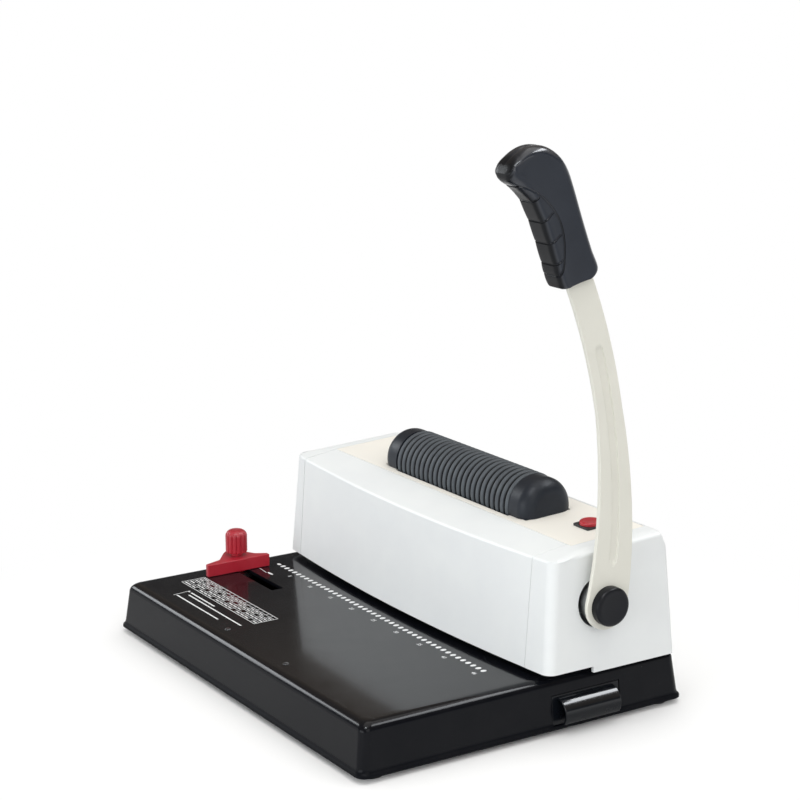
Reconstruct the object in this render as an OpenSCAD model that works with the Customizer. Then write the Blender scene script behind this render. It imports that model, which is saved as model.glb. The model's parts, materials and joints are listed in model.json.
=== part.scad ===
// Electric coil binding machine: a lever punch for a row of round holes, with a powered
// rubber roller on top that spins plastic coils into the punched sheets.
// X runs along the machine, right positive. The sheets go in from the front, -Y.
// Z is up from the surface that the feet stand on.

/* [Base] */
// Width of the base over its bottom lip
base_w = 369; // [365:1:480]
// Depth of the base over its bottom lip
base_d = 277; // [270:1:360]
// Height of the base shell from its lip to the deck
shell_h = 36; // [34:1:60]
// Wall of the base shell
shell_wall = 3; // [2:0.1:4]
// Corner radius of the base lip
shell_r = 8; // [6:1:20]
// How far the deck's edge lies inside the lip
shell_draft = 6; // [3:0.5:8]
// Thickness of the steel bottom plate
plate_t = 2; // [1.5:0.1:3]
// Height of the rubber feet
foot_h = 4.5; // [4:0.5:10]
// Radius of a rubber foot
foot_r = 12; // [9:0.5:14]

/* [Housing] */
// Width of the housing at its foot
house_w = 361; // [350:1:470]
// Depth of the housing at its foot, at the ends
house_d = 113; // [110:1:135]
// Distance from the housing's back to the back of the base
house_back = 11; // [8:1:20]
// Height of the housing's front edge above the deck
house_h = 84.5; // [80:0.5:110]
// How far the bowed front stands out at its middle
bow = 9.6; // [4:0.1:14]
// Wall of the housing's covers
cover_wall = 2.5; // [2:0.1:3.5]
// Height of the throat that the sheets slide into
throat_h = 4.5; // [4.5:0.1:6]
// Hairline gap between two covers
seam = 0.3; // [0.2:0.05:0.6]
// Width of the right end cover, seen from the front
right_cover_w = 30; // [28:0.5:40]
// Width of the left end cover, seen from the front
left_cover_w = 14.5; // [12:0.5:24]

/* [Punch] */
// Number of holes in a row
hole_count = 46; // [30:1:46]
// Distance from one hole to the next
pitch = 6.35; // [6:0.01:6.4]
// Diameter of a punched hole
pin_d = 4; // [3:0.1:4.6]
// Travel of the punch
punch_travel = 10; // [9:0.1:10.5]
// Distance from a hole's centre to the paper's edge
margin = 4.5; // [3.5:0.1:6]
// Thickness of the die plate under the throat
die_t = 8; // [6:0.5:9]
// Thickness of the punch guide over the throat
guide_t = 12; // [10:0.5:13]
// Radial running clearance of shafts, rods and pins
fit = 0.05; // [0.02:0.01:0.1]

/* [Lever] */
// Height of the lever's pivot above the deck
pivot_h = 51.1; // [50:0.1:60]
// Diameter of the cam shaft
shaft_d = 16; // [14:0.5:18]
// Swing of the lever from upright to the stop
swing = 75; // [60:1:80]
// Thickness of the lever's flat bar
lever_t = 5; // [4:0.5:7]
// Height of the lever bar's curve centre above the pivot
lever_knee = 62; // [50:1:70]
// Radius of the lever bar's curve
lever_curve = 435; // [400:5:600]
// Half width of the lever bar at the top
lever_hw = 11.2; // [10:0.1:12]
// Radius of the lever's round bottom end
lever_end_r = 18; // [16:0.5:20]
// Gap from the base's side to the lever's inner face
lever_gap = 3; // [2:0.5:6]
// Width of the hand grip
grip_w = 21; // [20:0.5:26]

/* [Roller] */
// Diameter of the rubber roller over its ribs
roller_d = 46.6; // [40:0.2:48]
// Length of the rubber roller
roller_len = 152.5; // [120:0.5:200]
// Distance from the roller's right end to the base's right side
roller_right = 104; // [95:1:130]
// Number of ribs on the roller
rib_count = 24; // [12:1:30]
// Depth of the grooves between the ribs
rib_depth = 1.6; // [0.8:0.1:2.5]
// Length of a fixed hood at each end of the roller
hood_len = 21; // [18:0.5:30]
// Diameter of the roller's steel shaft
roller_shaft_d = 10; // [8:0.5:12]

/* [Controls] */
// Diameter of the red start button
button_d = 15.5; // [12:0.5:16]
// Travel of the start button
button_travel = 2.2; // [1.5:0.1:3]
// Width of the slot that the edge guide slides in
slot_w = 8.2; // [6:0.2:10]
// Length of the edge guide's paper face
guide_len = 56.5; // [50:0.5:64]
// Diameter of the edge guide's knob
knob_d = 17.6; // [14:0.2:22]
// Travel of the edge guide along its slot
guide_travel = 60; // [30:1:62]
// Width of the chip tray
tray_w = 46; // [40:1:47]
// Height of the chip tray's walls
tray_h = 18; // [14:0.5:19]

/* [Hidden] */
$fn = 64;

// Clearance of a piece that slips over or into another without play
slip = 0.1;
// Gap between two moving bodies that pass each other
gap = 0.3;

// Overall places: the lever's grip reaches farthest to the right
lever_reach = lever_gap + lever_t / 2 + grip_w / 2;
xr = (base_w - lever_reach) / 2;
xl = xr - base_w;
xm = (xl + xr) / 2;
yf = -base_d / 2;
yb = base_d / 2;
deck_z = foot_h + shell_h;
floor_z = foot_h + plate_t;

// Housing
hx1 = xr + 1;
hx0 = hx1 - house_w;
hxm = (hx0 + hx1) / 2;
hy1 = yb - house_back;
hy0 = hy1 - house_d;
throat_z = deck_z + throat_h;
ridge_z = deck_z + house_h;
// How far the ends lean in over the housing's height
side_lean = 8.136;
side_slope = side_lean / house_h;
front_slope = tan(2.1);
rear_slope = tan(4);
bow_r = (house_w * house_w / 4 + bow * bow) / (2 * bow);
// The top panel tilts up towards the back from a crease behind the front ridge
panel_tilt = 3;
panel_y0 = hy0 + 34;
panel_y1 = hy1 - 14;
panel_z0 = ridge_z + 4.7;
panel_x0 = hx0 + left_cover_w;
panel_x1 = hx1 - right_cover_w + 9;
border = 18;
function panel_z(y) = panel_z0 + (y - panel_y0) * tan(panel_tilt);
// The rear part of the end covers stands on the deck, behind the open throat
throat_end_y = hy0 + 39.5;

// Lever pivot and the die line below and in front of it
pivot_y = hy0 + 45.2;
pivot_z = deck_z + pivot_h;
die_y = pivot_y - 19.7;
row_x1 = xr - 44.5;
row_x0 = row_x1 - (hole_count - 1) * pitch;
row_xm = (row_x0 + row_x1) / 2;

// Side frames
frame_t = 5;
frame_xr = xr - 26.5;
frame_xl = hx0 + 18.5;
frame_y0 = hy0 + 7.5;
frame_y1 = hy1 - 15.5;
frame_z1 = ridge_z - 7;
plates_y1 = die_y + 18;
guide_z1 = throat_z + guide_t;

// Punch bar, yokes and eccentrics
yoke_t = 7;
yoke_gap = 1;
yoke_xl = frame_xl + yoke_gap;
yoke_xr = frame_xr - yoke_gap - yoke_t;
bar_x0 = yoke_xl + yoke_t;
bar_x1 = yoke_xr;
bar_y0 = die_y - 8;
bar_y1 = die_y + 8;
bar_z0 = guide_z1 + punch_travel + 5;
bar_z1 = pivot_z + 4.4;
retainer_t = 4;
cam_r = shaft_d / 2 + 10;
cam_throw = punch_travel / (2 * sin(swing / 2));
cam_phase = 180 - swing / 2;
cam_y = pivot_y + cam_throw * cos(cam_phase);
cam_z = pivot_z + cam_throw * sin(cam_phase);
yoke_r = cam_r + gap;
yoke_web = 5.5;
// Sideways room in the yoke for the eccentric's swing
yoke_play = cam_throw * (1 - cos(swing / 2)) / 2;

// Guide rods and their springs, in front of the bar
rod_d = 6;
rod_y = die_y - 15.5;
rod_x = [row_xm - 100, row_xm + 100];
ear_z0 = bar_z0 + 12;
tie_z0 = frame_z1 - 10;
tie_h = 8;

// Lever plate
lever_x0 = xr + lever_gap;
lever_x1 = lever_x0 + lever_t;
lever_xm = (lever_x0 + lever_x1) / 2;
hub_r = 15;
cover_hole_r = 18.5;
bolt_d = 8;
bolt_head = 5;
cap_r = 14.2;
cap_h = 7.4;
grip_z0 = 228;

// Roller
roller_x1 = xr - roller_right;
roller_x0 = roller_x1 - roller_len;
roller_y = pivot_y + 17.2;
roller_z = panel_z(roller_y) + 4.3;
hood_x0 = roller_x0 - hood_len;
hood_x1 = roller_x1 + hood_len;
hood_r = roller_d / 2 - 0.6;
hood_wall = 2;
hood_round = 11;
slot_clear = 1.2;
cradle_t = 2;
cradle_x0 = roller_x0 - 5;
cradle_x1 = roller_x1 + 3;
rear_tie_y0 = frame_y1 - 12;
rear_tie_z1 = roller_z - roller_d / 2 - 7.2;
pulley_x0 = hood_x0 + 3;
pulley_w = 8;
roller_pulley_r = 14;
motor_pulley_r = 8;
belt_t = 1.2;
motor_y = rear_tie_y0 - 11;
motor_z = pivot_z - 16;
motor_r = 18;
motor_shaft_d = 6;

// Start button
button_x = xr - 46;
button_y = pivot_y + 25.5;
bezel_w = 18;
bezel_t = 1.5;
cap_rise = 2.6;

// Edge guide
slot_y = yf + 97.4;
slot_x0 = xl + 11;
guide_x1 = xl + 32;
guide_h = 10;
guide_y0 = slot_y - 33;
knob_x = guide_x1 - 13;
// The guide's tongue reaches this far each way from the knob along the slot
tongue = 7;
slot_x1 = knob_x + tongue + guide_travel + 1.5;
knob_neck = 2.5;
knob_h = 21.5;
stud_d = 5;

// Chip tray
tray_y0 = die_y - tray_w / 2 + 11;
tray_y1 = tray_y0 + tray_w;
tray_x0 = frame_xl + 3;
tray_x1 = xr - 5;
tray_z0 = floor_z + gap;
tray_wall = 1.5;
window_y0 = tray_y0 - 7;
window_y1 = tray_y1 + 7;
pull_y0 = tray_y0;
pull_len = tray_w + 1;
pull_r = 11.5;
pull_t = 1.8;
pull_x = tray_x1 + 0.5;
pull_z = tray_z0 + 8.2;

// Basic shapes

module bar_x(x0, x1, y, z, d) {
    translate([x0, y, z]) rotate([0, 90, 0]) cylinder(d = d, h = x1 - x0);
}

module box(x0, x1, y0, y1, z0, z1) {
    translate([x0, y0, z0]) cube([x1 - x0, y1 - y0, z1 - z0]);
}

// A 2D outline in Y and Z, made thick along X
module side_plate(x0, t) {
    translate([x0, 0, 0]) rotate([90, 0, 90]) linear_extrude(t) children();
}

module pan_head_z(x, y, z, d, head_d, head_h, length) {
    translate([x, y, z]) {
        cylinder(d = head_d, h = head_h);
        translate([0, 0, -length]) cylinder(d = d, h = length + 0.01);
    }
}

// Rounded rectangle of four corner posts, for one level of the base shell
module posts(inset, r, z, h) {
    for (x = [xl + inset + r, xr - inset - r], y = [yf + inset + r, yb - inset - r])
        translate([x, y, z]) cylinder(r = r, h = h, $fn = 32);
}

// Corner radius at a distance inside the lip: the corners get tighter towards the deck
function corner_r(inset) = max(1.5, shell_r - 0.6 * inset);

// Outside of the base shell, moved in by a wall
module shell_form(wall) {
    low = foot_h - (wall > 0 ? 1 : 0);
    hull() {
        posts(1.5 + wall, corner_r(1.5 + wall), low, 2);
        posts(shell_draft - 1 + wall, corner_r(shell_draft - 1 + wall), deck_z - 6 - wall / 2, 1);
        posts(shell_draft + 0.8 + wall, corner_r(shell_draft + 0.8 + wall), deck_z - 2.5 - wall, 1);
        posts(shell_draft + 4 + wall, corner_r(shell_draft + 4 + wall), deck_z - 1 - wall, 1);
    }
}

// Base

module base_cover() {
    color([0.04, 0.04, 0.045]) difference() {
        union() {
            shell_form(0);
            hull() posts(0, shell_r, foot_h, plate_t);
        }
        shell_form(shell_wall);
        // Opening that the punch frames stand in
        box(frame_xl - frame_t - 5, frame_xr + frame_t + 5, frame_y0 - gap, frame_y1 + gap,
            deck_z - shell_wall - 1, deck_z + 1);
        // Slot of the edge guide
        box(slot_x0, slot_x1, slot_y - slot_w / 2, slot_y + slot_w / 2,
            deck_z - shell_wall - 1, deck_z + 1);
        // Window of the chip tray
        box(xr - 20, xr + 1, window_y0, window_y1, floor_z, tray_z0 + tray_h + 3.5);
        // Window of the power inlet
        box(inlet_x - 14, inlet_x + 14, yb - 20, yb + 1, inlet_z - 10.3, inlet_z + 10.3);
        for (x = rivet_x)
            translate([x, rivet_y, deck_z - shell_wall - 1]) cylinder(d = 3.2, h = shell_wall + 2);
    }
}

plate_inset = 1.5 + shell_wall + 0.4;

module plate_outline() {
    r = shell_r - shell_wall;
    x0 = xl + plate_inset;
    x1 = xr - plate_inset;
    y0 = yf + plate_inset;
    y1 = yb - plate_inset;
    translate([x0 + r, y0]) square([x1 - x0 - 2 * r, y1 - y0]);
    translate([x0, y0 + r]) square([x1 - x0, y1 - y0 - 2 * r]);
    for (x = [x0 + r, x1 - r], y = [y0 + r, y1 - r]) translate([x, y]) circle(r);
}

foot_inset = foot_r + 4;
foot_places = [for (x = [xl + foot_inset, xr - foot_inset], y = [yf + foot_inset, yb - foot_inset]) [x, y]];
foot_screw_d = 4;
rail_t = 1.5;
rail_h = 9;

module base_plate() {
    color([0.1, 0.1, 0.11]) difference() {
        union() {
            translate([0, 0, foot_h]) linear_extrude(plate_t) plate_outline();
            // Two upright strips that the chip tray slides between
            for (y = [tray_y0 - gap - rail_t, tray_y1 + gap])
                box(tray_x0, frame_xr - 4, y, y + rail_t, floor_z - 0.01, floor_z + rail_h);
        }
        for (p = foot_places)
            translate([p[0], p[1], foot_h - 1]) cylinder(d = foot_screw_d + 2 * slip, h = plate_t + 2);
    }
}

module rubber_feet() {
    color([0.05, 0.05, 0.05]) for (p = foot_places) translate([p[0], p[1], 0]) difference() {
        cylinder(r1 = foot_r - 1.5, r2 = foot_r, h = foot_h);
        translate([0, 0, -1]) cylinder(d = 8.4, h = 3.2);
        cylinder(d = foot_screw_d + 2 * slip, h = foot_h + 1);
    }
}

module foot_screws() {
    color([0.7, 0.7, 0.72]) for (p = foot_places) translate([p[0], p[1], 0.6]) {
        cylinder(d = 8, h = 1.6);
        cylinder(d = foot_screw_d, h = floor_z + 2.4);
        translate([0, 0, floor_z - 0.6]) cylinder(d = 8.1, h = 2.2, $fn = 6);
    }
}

rivet_x = [xr - 220.5, xr - 133];
rivet_y = yf + 19.5;

// Z-shaped rail under the deck's front
module deck_support() {
    t = 1.5;
    color([0.6, 0.6, 0.62]) difference() {
        union() {
            box(xm - 120, xm + 120, rivet_y + 6, rivet_y + 6 + t, floor_z, deck_z - shell_wall);
            box(xm - 120, xm + 120, rivet_y - 5, rivet_y + 6, deck_z - shell_wall - t, deck_z - shell_wall);
            box(xm - 120, xm + 120, rivet_y + 6, rivet_y + 20, floor_z, floor_z + t);
        }
        for (x = rivet_x)
            translate([x, rivet_y, deck_z - shell_wall - t - 1]) cylinder(d = 3.2, h = t + 2);
    }
}

module deck_rivets() {
    color([0.8, 0.8, 0.82]) for (x = rivet_x) {
        pan_head_z(x, rivet_y, deck_z, 3, 5, 0.9, shell_wall + 2.5);
        translate([x, rivet_y, deck_z - shell_wall - 2.7]) cylinder(d = 4.6, h = 1.2);
    }
}

// Punch frame

module frame_outline() {
    difference() {
        polygon([[frame_y0, floor_z], [frame_y1, floor_z], [frame_y1, rear_tie_z1 - 4],
            [frame_y1 - 16, frame_z1 - 4], [frame_y1 - 30, frame_z1], [frame_y0 + 3, frame_z1],
            [frame_y0, frame_z1 - 3]]);
        // Throat, open to the front
        translate([frame_y0 - 1, deck_z]) square([stop_y - frame_y0 + 1, throat_h]);
    }
}

stop_y = die_y + margin;
bush_d = shaft_d + 5;
frame_hole_yz = [[frame_y0 + 10, deck_z - die_t / 2], [plates_y1 - 5, deck_z - die_t / 2],
    [frame_y0 + 8, throat_z + guide_t / 2], [plates_y1 - 5, throat_z + guide_t / 2]];
tie_screw_yz = [[frame_y0 + 3, tie_z0 + tie_h / 2], [rear_tie_y0 + 6, rear_tie_z1 - 4]];
screw_d = 4;

module frame_holes(x) {
    bar_x(x - 1, x + frame_t + 1, pivot_y, pivot_z, bush_d);
    for (p = concat(frame_hole_yz, tie_screw_yz))
        bar_x(x - 1, x + frame_t + 1, p[0], p[1], screw_d + 2 * slip);
}

module side_frame_left() {
    color([0.55, 0.56, 0.58]) difference() {
        side_plate(frame_xl - frame_t, frame_t) frame_outline();
        frame_holes(frame_xl - frame_t);
    }
}

module side_frame_right() {
    color([0.55, 0.56, 0.58]) difference() {
        side_plate(frame_xr, frame_t) frame_outline();
        frame_holes(frame_xr);
        box(frame_xr - 1, frame_xr + frame_t + 1, tray_y0 - 0.6, tray_y1 + 0.6,
            floor_z - 1, tray_z0 + tray_h + 1);
    }
}

module pin_bores(d, z0, h) {
    for (i = [0 : hole_count - 1])
        translate([row_x0 + i * pitch, die_y, z0]) cylinder(d = d, h = h, $fn = 24);
}

module cross_bores(z, places) {
    for (p = places) {
        bar_x(frame_xl - 1, frame_xl + 12, p, z, screw_d);
        bar_x(frame_xr - 12, frame_xr + 1, p, z, screw_d);
    }
}

module die_plate() {
    color([0.62, 0.63, 0.65]) difference() {
        box(frame_xl, frame_xr, frame_y0, plates_y1, deck_z - die_t, deck_z);
        pin_bores(pin_d + 2 * fit, deck_z - die_t - 1, die_t + 2);
        cross_bores(deck_z - die_t / 2, [frame_y0 + 10, plates_y1 - 5]);
    }
}

module punch_guide() {
    color([0.62, 0.63, 0.65]) difference() {
        box(frame_xl, frame_xr, frame_y0, plates_y1, throat_z, guide_z1);
        pin_bores(pin_d + 2 * fit, throat_z - 1, guide_t + 2);
        cross_bores(throat_z + guide_t / 2, [frame_y0 + 8, plates_y1 - 5]);
        for (x = rod_x)
            translate([x, rod_y, guide_z1 - 8]) cylinder(d = rod_d + 2 * fit, h = 9);
    }
}

// Bar at the back of the throat that the sheets' edge stops against
module depth_stop() {
    color([0.7, 0.7, 0.72]) box(frame_xl, frame_xr, stop_y, stop_y + 6, deck_z, throat_z);
}

tie_y0 = frame_y0 - 1.5;
tie_y1 = tie_y0 + 9;

module front_tie_bar() {
    color([0.55, 0.56, 0.58]) difference() {
        box(frame_xl, frame_xr, tie_y0, tie_y1, tie_z0, tie_z0 + tie_h);
        cross_bores(tie_z0 + tie_h / 2, [frame_y0 + 3]);
        for (x = rod_x)
            translate([x, rod_y, tie_z0 - 1]) cylinder(d = rod_d + 2 * fit, h = tie_h + 2);
    }
}

module rear_tie_bar() {
    color([0.55, 0.56, 0.58]) difference() {
        box(frame_xl, frame_xr, rear_tie_y0, frame_y1, rear_tie_z1 - 8, rear_tie_z1);
        cross_bores(rear_tie_z1 - 4, [rear_tie_y0 + 6]);
        for (x = rear_screw_x)
            translate([x, frame_y1 + 1, rear_tie_z1 - 4]) rotate([90, 0, 0]) cylinder(d = 3, h = 9);
    }
}

// Socket head screws through the side frames into the plates and the rear bar
module frame_screws() {
    head = 3;
    places = concat(frame_hole_yz, tie_screw_yz);
    color([0.15, 0.15, 0.16]) for (p = places) {
        bar_x(frame_xl - frame_t, frame_xl + 11, p[0], p[1], screw_d - 2 * fit);
        bar_x(frame_xl - frame_t - head, frame_xl - frame_t, p[0], p[1], 7);
        bar_x(frame_xr - 11, frame_xr + frame_t, p[0], p[1], screw_d - 2 * fit);
        bar_x(frame_xr + frame_t, frame_xr + frame_t + head, p[0], p[1], 7);
    }
}

module guide_rods() {
    color([0.8, 0.8, 0.82]) for (x = rod_x)
        translate([x, rod_y, guide_z1 - 8]) cylinder(d = rod_d, h = tie_z0 + tie_h - guide_z1 + 8);
}

// Coil spring: a six-sided wire swept along a helix
spring_turns = 6;
spring_r = 4.9;
spring_wire = 0.65;
function ring_of(r, a, z, wire) = [for (k = [0 : 5])
    [(r + wire * cos(60 * k)) * cos(a), (r + wire * cos(60 * k)) * sin(a), z + wire * sin(60 * k)]];

module coil_spring(r, wire, turns, h) {
    steps = turns * 14;
    rise = h - 2 * wire;
    points = [for (i = [0 : steps]) each ring_of(r, i * 360 / 14, wire + rise * i / steps, wire)];
    sides = [for (i = [0 : steps - 1], k = [0 : 5])
        [i * 6 + k, (i + 1) * 6 + k, (i + 1) * 6 + (k + 1) % 6, i * 6 + (k + 1) % 6]];
    start = [[0, 1, 2, 3, 4, 5]];
    end = [[for (k = [5 : -1 : 0]) steps * 6 + k]];
    polyhedron(points, concat(start, sides, end));
}

module return_springs() {
    color([0.75, 0.76, 0.78]) for (x = rod_x)
        translate([x, rod_y, guide_z1 + slip])
            coil_spring(spring_r, spring_wire, spring_turns, ear_z0 - guide_z1 - 2 * slip);
}

module shaft_bushings() {
    color([0.72, 0.55, 0.3]) for (s = [[frame_xl - frame_t, -1], [frame_xr + frame_t, 1]])
        difference() {
            union() {
                bar_x(min(s[0], s[0] - s[1] * frame_t), max(s[0], s[0] - s[1] * frame_t),
                    pivot_y, pivot_z, bush_d - 2 * fit);
                bar_x(min(s[0], s[0] + s[1] * 2), max(s[0], s[0] + s[1] * 2),
                    pivot_y, pivot_z, bush_d + 5);
            }
            bar_x(s[0] - 10, s[0] + 10, pivot_y, pivot_z, shaft_d + 2 * fit);
        }
}

// Punch

module punch_bar() {
    color([0.45, 0.46, 0.48]) difference() {
        union() {
            box(bar_x0, bar_x1, bar_y0, bar_y1, bar_z0, bar_z1);
            for (x = rod_x) box(x - 7, x + 7, rod_y - 5.5, bar_y0 + 1, ear_z0, bar_z1);
        }
        // Groove for the pins' heads
        box(row_x0 - 4, row_x1 + 4, die_y - 3, die_y + 3, bar_z0 - 1, bar_z0 + 2.2);
        for (x = rod_x)
            translate([x, rod_y, ear_z0 - 1]) cylinder(d = rod_d + 2 * fit, h = bar_z1 - ear_z0 + 2);
        for (x = [bar_x0 - 1, bar_x1 - 11], p = yoke_screw_yz) bar_x(x, x + 12, p[0], p[1], yoke_screw_d);
    }
}

yoke_screw_yz = [[bar_y0 + 4, bar_z0 + 5], [bar_y1 - 5, bar_z0 + 4.2]];
yoke_screw_d = 3;

module pin_retainer() {
    color([0.62, 0.63, 0.65]) difference() {
        box(row_x0 - 4, row_x1 + 4, bar_y0, bar_y1, bar_z0 - retainer_t, bar_z0);
        pin_bores(pin_d + 2 * fit, bar_z0 - retainer_t - 1, retainer_t + 2);
    }
}

module punch_pins() {
    color([0.75, 0.76, 0.78]) for (i = [0 : hole_count - 1])
        translate([row_x0 + i * pitch, die_y, throat_z + 1]) {
            cylinder(d = pin_d, h = bar_z0 - throat_z, $fn = 24);
            translate([0, 0, bar_z0 - throat_z - 1]) cylinder(d = pin_d + 1.4, h = 2, $fn = 24);
        }
}

module yoke_outline() {
    difference() {
        union() {
            for (dy = [-yoke_play, yoke_play]) translate([cam_mid_y + dy, cam_z]) circle(yoke_r + yoke_web);
            translate([cam_mid_y - yoke_play, cam_z - yoke_r - yoke_web])
                square([2 * yoke_play, 2 * (yoke_r + yoke_web)]);
            translate([bar_y0, bar_z0]) square([bar_y1 - bar_y0, cam_z - bar_z0]);
        }
        for (dy = [-yoke_play, yoke_play]) translate([cam_mid_y + dy, cam_z]) circle(yoke_r);
        translate([cam_mid_y - yoke_play, cam_z - yoke_r]) square([2 * yoke_play, 2 * yoke_r]);
    }
}

// The eccentric's centre swings forward of its rest place by this much on average
cam_mid_y = pivot_y - cam_throw * (1 + cos(swing / 2)) / 2;

module cam_yokes() {
    color([0.5, 0.51, 0.53]) for (x = [yoke_xl, yoke_xr]) difference() {
        side_plate(x, yoke_t) yoke_outline();
        for (p = yoke_screw_yz) {
            bar_x(x - 1, x + yoke_t + 1, p[0], p[1], yoke_screw_d + 2 * slip);
            bar_x(x == yoke_xl ? x - 1 : x + yoke_t - 1.6, x == yoke_xl ? x + 1.6 : x + yoke_t + 1,
                p[0], p[1], 6);
        }
    }
}

module yoke_screws() {
    color([0.15, 0.15, 0.16]) for (p = yoke_screw_yz) {
        bar_x(yoke_xl + 1.6, bar_x0 + 10, p[0], p[1], yoke_screw_d - 2 * fit);
        bar_x(yoke_xl + 0.2, yoke_xl + 1.6, p[0], p[1], 5.8);
        bar_x(bar_x1 - 10, bar_x1 + yoke_t - 1.6, p[0], p[1], yoke_screw_d - 2 * fit);
        bar_x(bar_x1 + yoke_t - 1.6, bar_x1 + yoke_t - 0.2, p[0], p[1], 5.8);
    }
}

// Lever and cam shaft

shaft_x0 = frame_xl - frame_t - 4.5;

module cam_shaft() {
    color([0.7, 0.71, 0.73]) difference() {
        bar_x(shaft_x0, lever_x0, pivot_y, pivot_z, shaft_d);
        bar_x(lever_x0 - 20, lever_x0 + 1, pivot_y, pivot_z, bolt_d + 2 * fit);
        // Groove of the clip at the left end
        difference() {
            bar_x(clip_x, clip_x + 1.3, pivot_y, pivot_z, shaft_d + 2);
            bar_x(clip_x - 1, clip_x + 3, pivot_y, pivot_z, shaft_d - 2);
        }
    }
}

clip_x = frame_xl - frame_t - 3.4;

module shaft_clip() {
    color([0.2, 0.2, 0.22]) difference() {
        bar_x(clip_x + 0.05, clip_x + 1.25, pivot_y, pivot_z, shaft_d + 5);
        bar_x(clip_x - 1, clip_x + 3, pivot_y, pivot_z, shaft_d - 2 + 2 * fit);
        box(clip_x - 1, clip_x + 3, pivot_y - 3, pivot_y + 3, pivot_z - shaft_d, pivot_z);
    }
}

module eccentrics() {
    color([0.6, 0.6, 0.58]) for (x = [yoke_xl, yoke_xr + gap]) difference() {
        bar_x(x, x + yoke_t - gap, cam_y, cam_z, 2 * cam_r);
        bar_x(x - 1, x + yoke_t + 1, pivot_y, pivot_z, shaft_d + 2 * fit);
    }
}

module lever_hub() {
    color([0.66, 0.67, 0.68]) difference() {
        union() {
            bar_x(frame_xr + frame_t + 3, lever_x0, pivot_y, pivot_z, 2 * hub_r - 5);
            bar_x(lever_x0 - 9, lever_x0, pivot_y, pivot_z, 2 * hub_r);
        }
        bar_x(frame_xr, lever_x0 + 1, pivot_y, pivot_z, shaft_d + 2 * fit);
    }
}

// Half width of the lever bar, at a height above the pivot
lever_taper = 140;
function lever_half(h) = lever_hw + (lever_end_r - lever_hw) * max(0, 1 - max(h, 0) / lever_taper);
// Place of the bar's middle line, at an angle of its curve
lever_a0 = -asin(lever_knee / lever_curve);
lever_back = 5.6;
lever_ease = lever_back - lever_curve * (1 - cos(lever_a0));
function lever_mid(a, r) = [r * cos(a) - lever_curve + lever_back
    - lever_ease * pow(max(0, a / lever_a0), 2), r * sin(a) + lever_knee];

function bar_side(a0, a1, side, more) = [for (i = [0 : 18]) let (a = a0 + (a1 - a0) * i / 18)
    lever_mid(a, lever_curve + side * (lever_half(lever_mid(a, lever_curve)[1]) + more))];

lever_a1 = asin((grip_z0 + 47 - lever_knee) / lever_curve);
grip_a0 = asin((grip_z0 - 20 - lever_knee) / lever_curve);

// Round end below the pivot, from the bar's right side to its left
function lever_end() = [for (i = [1 : 23]) let (a = lever_a0 - 180 * i / 24)
    [lever_end_r * cos(a), lever_end_r * sin(a)]];

module lever_outline() {
    polygon(concat(bar_side(lever_a0, lever_a1, -1, 0), bar_side(lever_a1, lever_a0, 1, 0), lever_end()));
}

groove_r = 4.6;
groove_a0 = asin((30 - lever_knee) / lever_curve);
groove_a1 = asin((182 - lever_knee) / lever_curve);
function groove_end(a, turn) = [for (i = [1 : 11]) let (c = lever_mid(a, lever_curve), t = a + turn + 15 * i)
    [c[0] + groove_r * cos(t), c[1] + groove_r * sin(t)]];

module lever_arm() {
    color([0.9, 0.9, 0.86]) difference() {
        translate([0, pivot_y, pivot_z]) side_plate(lever_x0, lever_t) lever_outline();
        bar_x(lever_x0 - 1, lever_x1 + 1, pivot_y, pivot_z, bolt_d + 2 * slip);
        // Pressed groove along the middle of the outer face
        translate([0, pivot_y, pivot_z]) side_plate(lever_x1 - 0.9, 2) polygon(concat(
            [for (i = [0 : 12]) lever_mid(groove_a0 + (groove_a1 - groove_a0) * i / 12, lever_curve + groove_r)],
            groove_end(groove_a1, 0),
            [for (i = [12 : -1 : 0]) lever_mid(groove_a0 + (groove_a1 - groove_a0) * i / 12, lever_curve - groove_r)],
            groove_end(groove_a0, 180)));
        for (p = grip_screw_yz)
            bar_x(lever_x0 - 1, lever_x1 + 1, pivot_y + p[0], pivot_z + p[1], screw_d + 2 * slip);
    }
}

module lever_bolt() {
    color([0.7, 0.7, 0.72]) {
        bar_x(lever_x0 - 18, lever_x1, pivot_y, pivot_z, bolt_d);
        translate([lever_x1, pivot_y, pivot_z]) rotate([0, 90, 0]) cylinder(d = 15, h = bolt_head, $fn = 6);
    }
}

module pivot_cap() {
    color([0.05, 0.05, 0.06]) translate([lever_x1, pivot_y, pivot_z]) rotate([0, 90, 0]) difference() {
        rotate_extrude() {
            square([cap_r, cap_h - 3]);
            square([cap_r - 3, cap_h]);
            translate([cap_r - 3, cap_h - 3]) circle(3);
        }
        translate([0, 0, -1]) cylinder(d = 15.4, h = bolt_head + 1.4);
    }
}

// Pistol grip: rounded blocks between the middles of its rounded corners, from the pivot
grip_round = 7;
grip_low = [[-41, 235], [-21.5, 240.5], [-57, 277], [-38, 282.5]];
grip_high = [[-57, 277], [-38, 282.5], [-44, 298], [-53, 311], [-66.5, 318.4], [-67, 293]];
grip_nose = [[-67, 293], [-53, 311], [-66.5, 318.4], [-79.5, 315.8], [-86.7, 309], [-75.5, 302]];
grip_screw_yz = [[-36, 248], [-45.5, 268]];

module grip_block(corners) {
    hull() for (p = corners, x = [-1, 1])
        translate([lever_xm + x * (grip_w / 2 - grip_round), pivot_y + p[0], pivot_z + p[1]])
            sphere(grip_round, $fn = 24);
}

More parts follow.
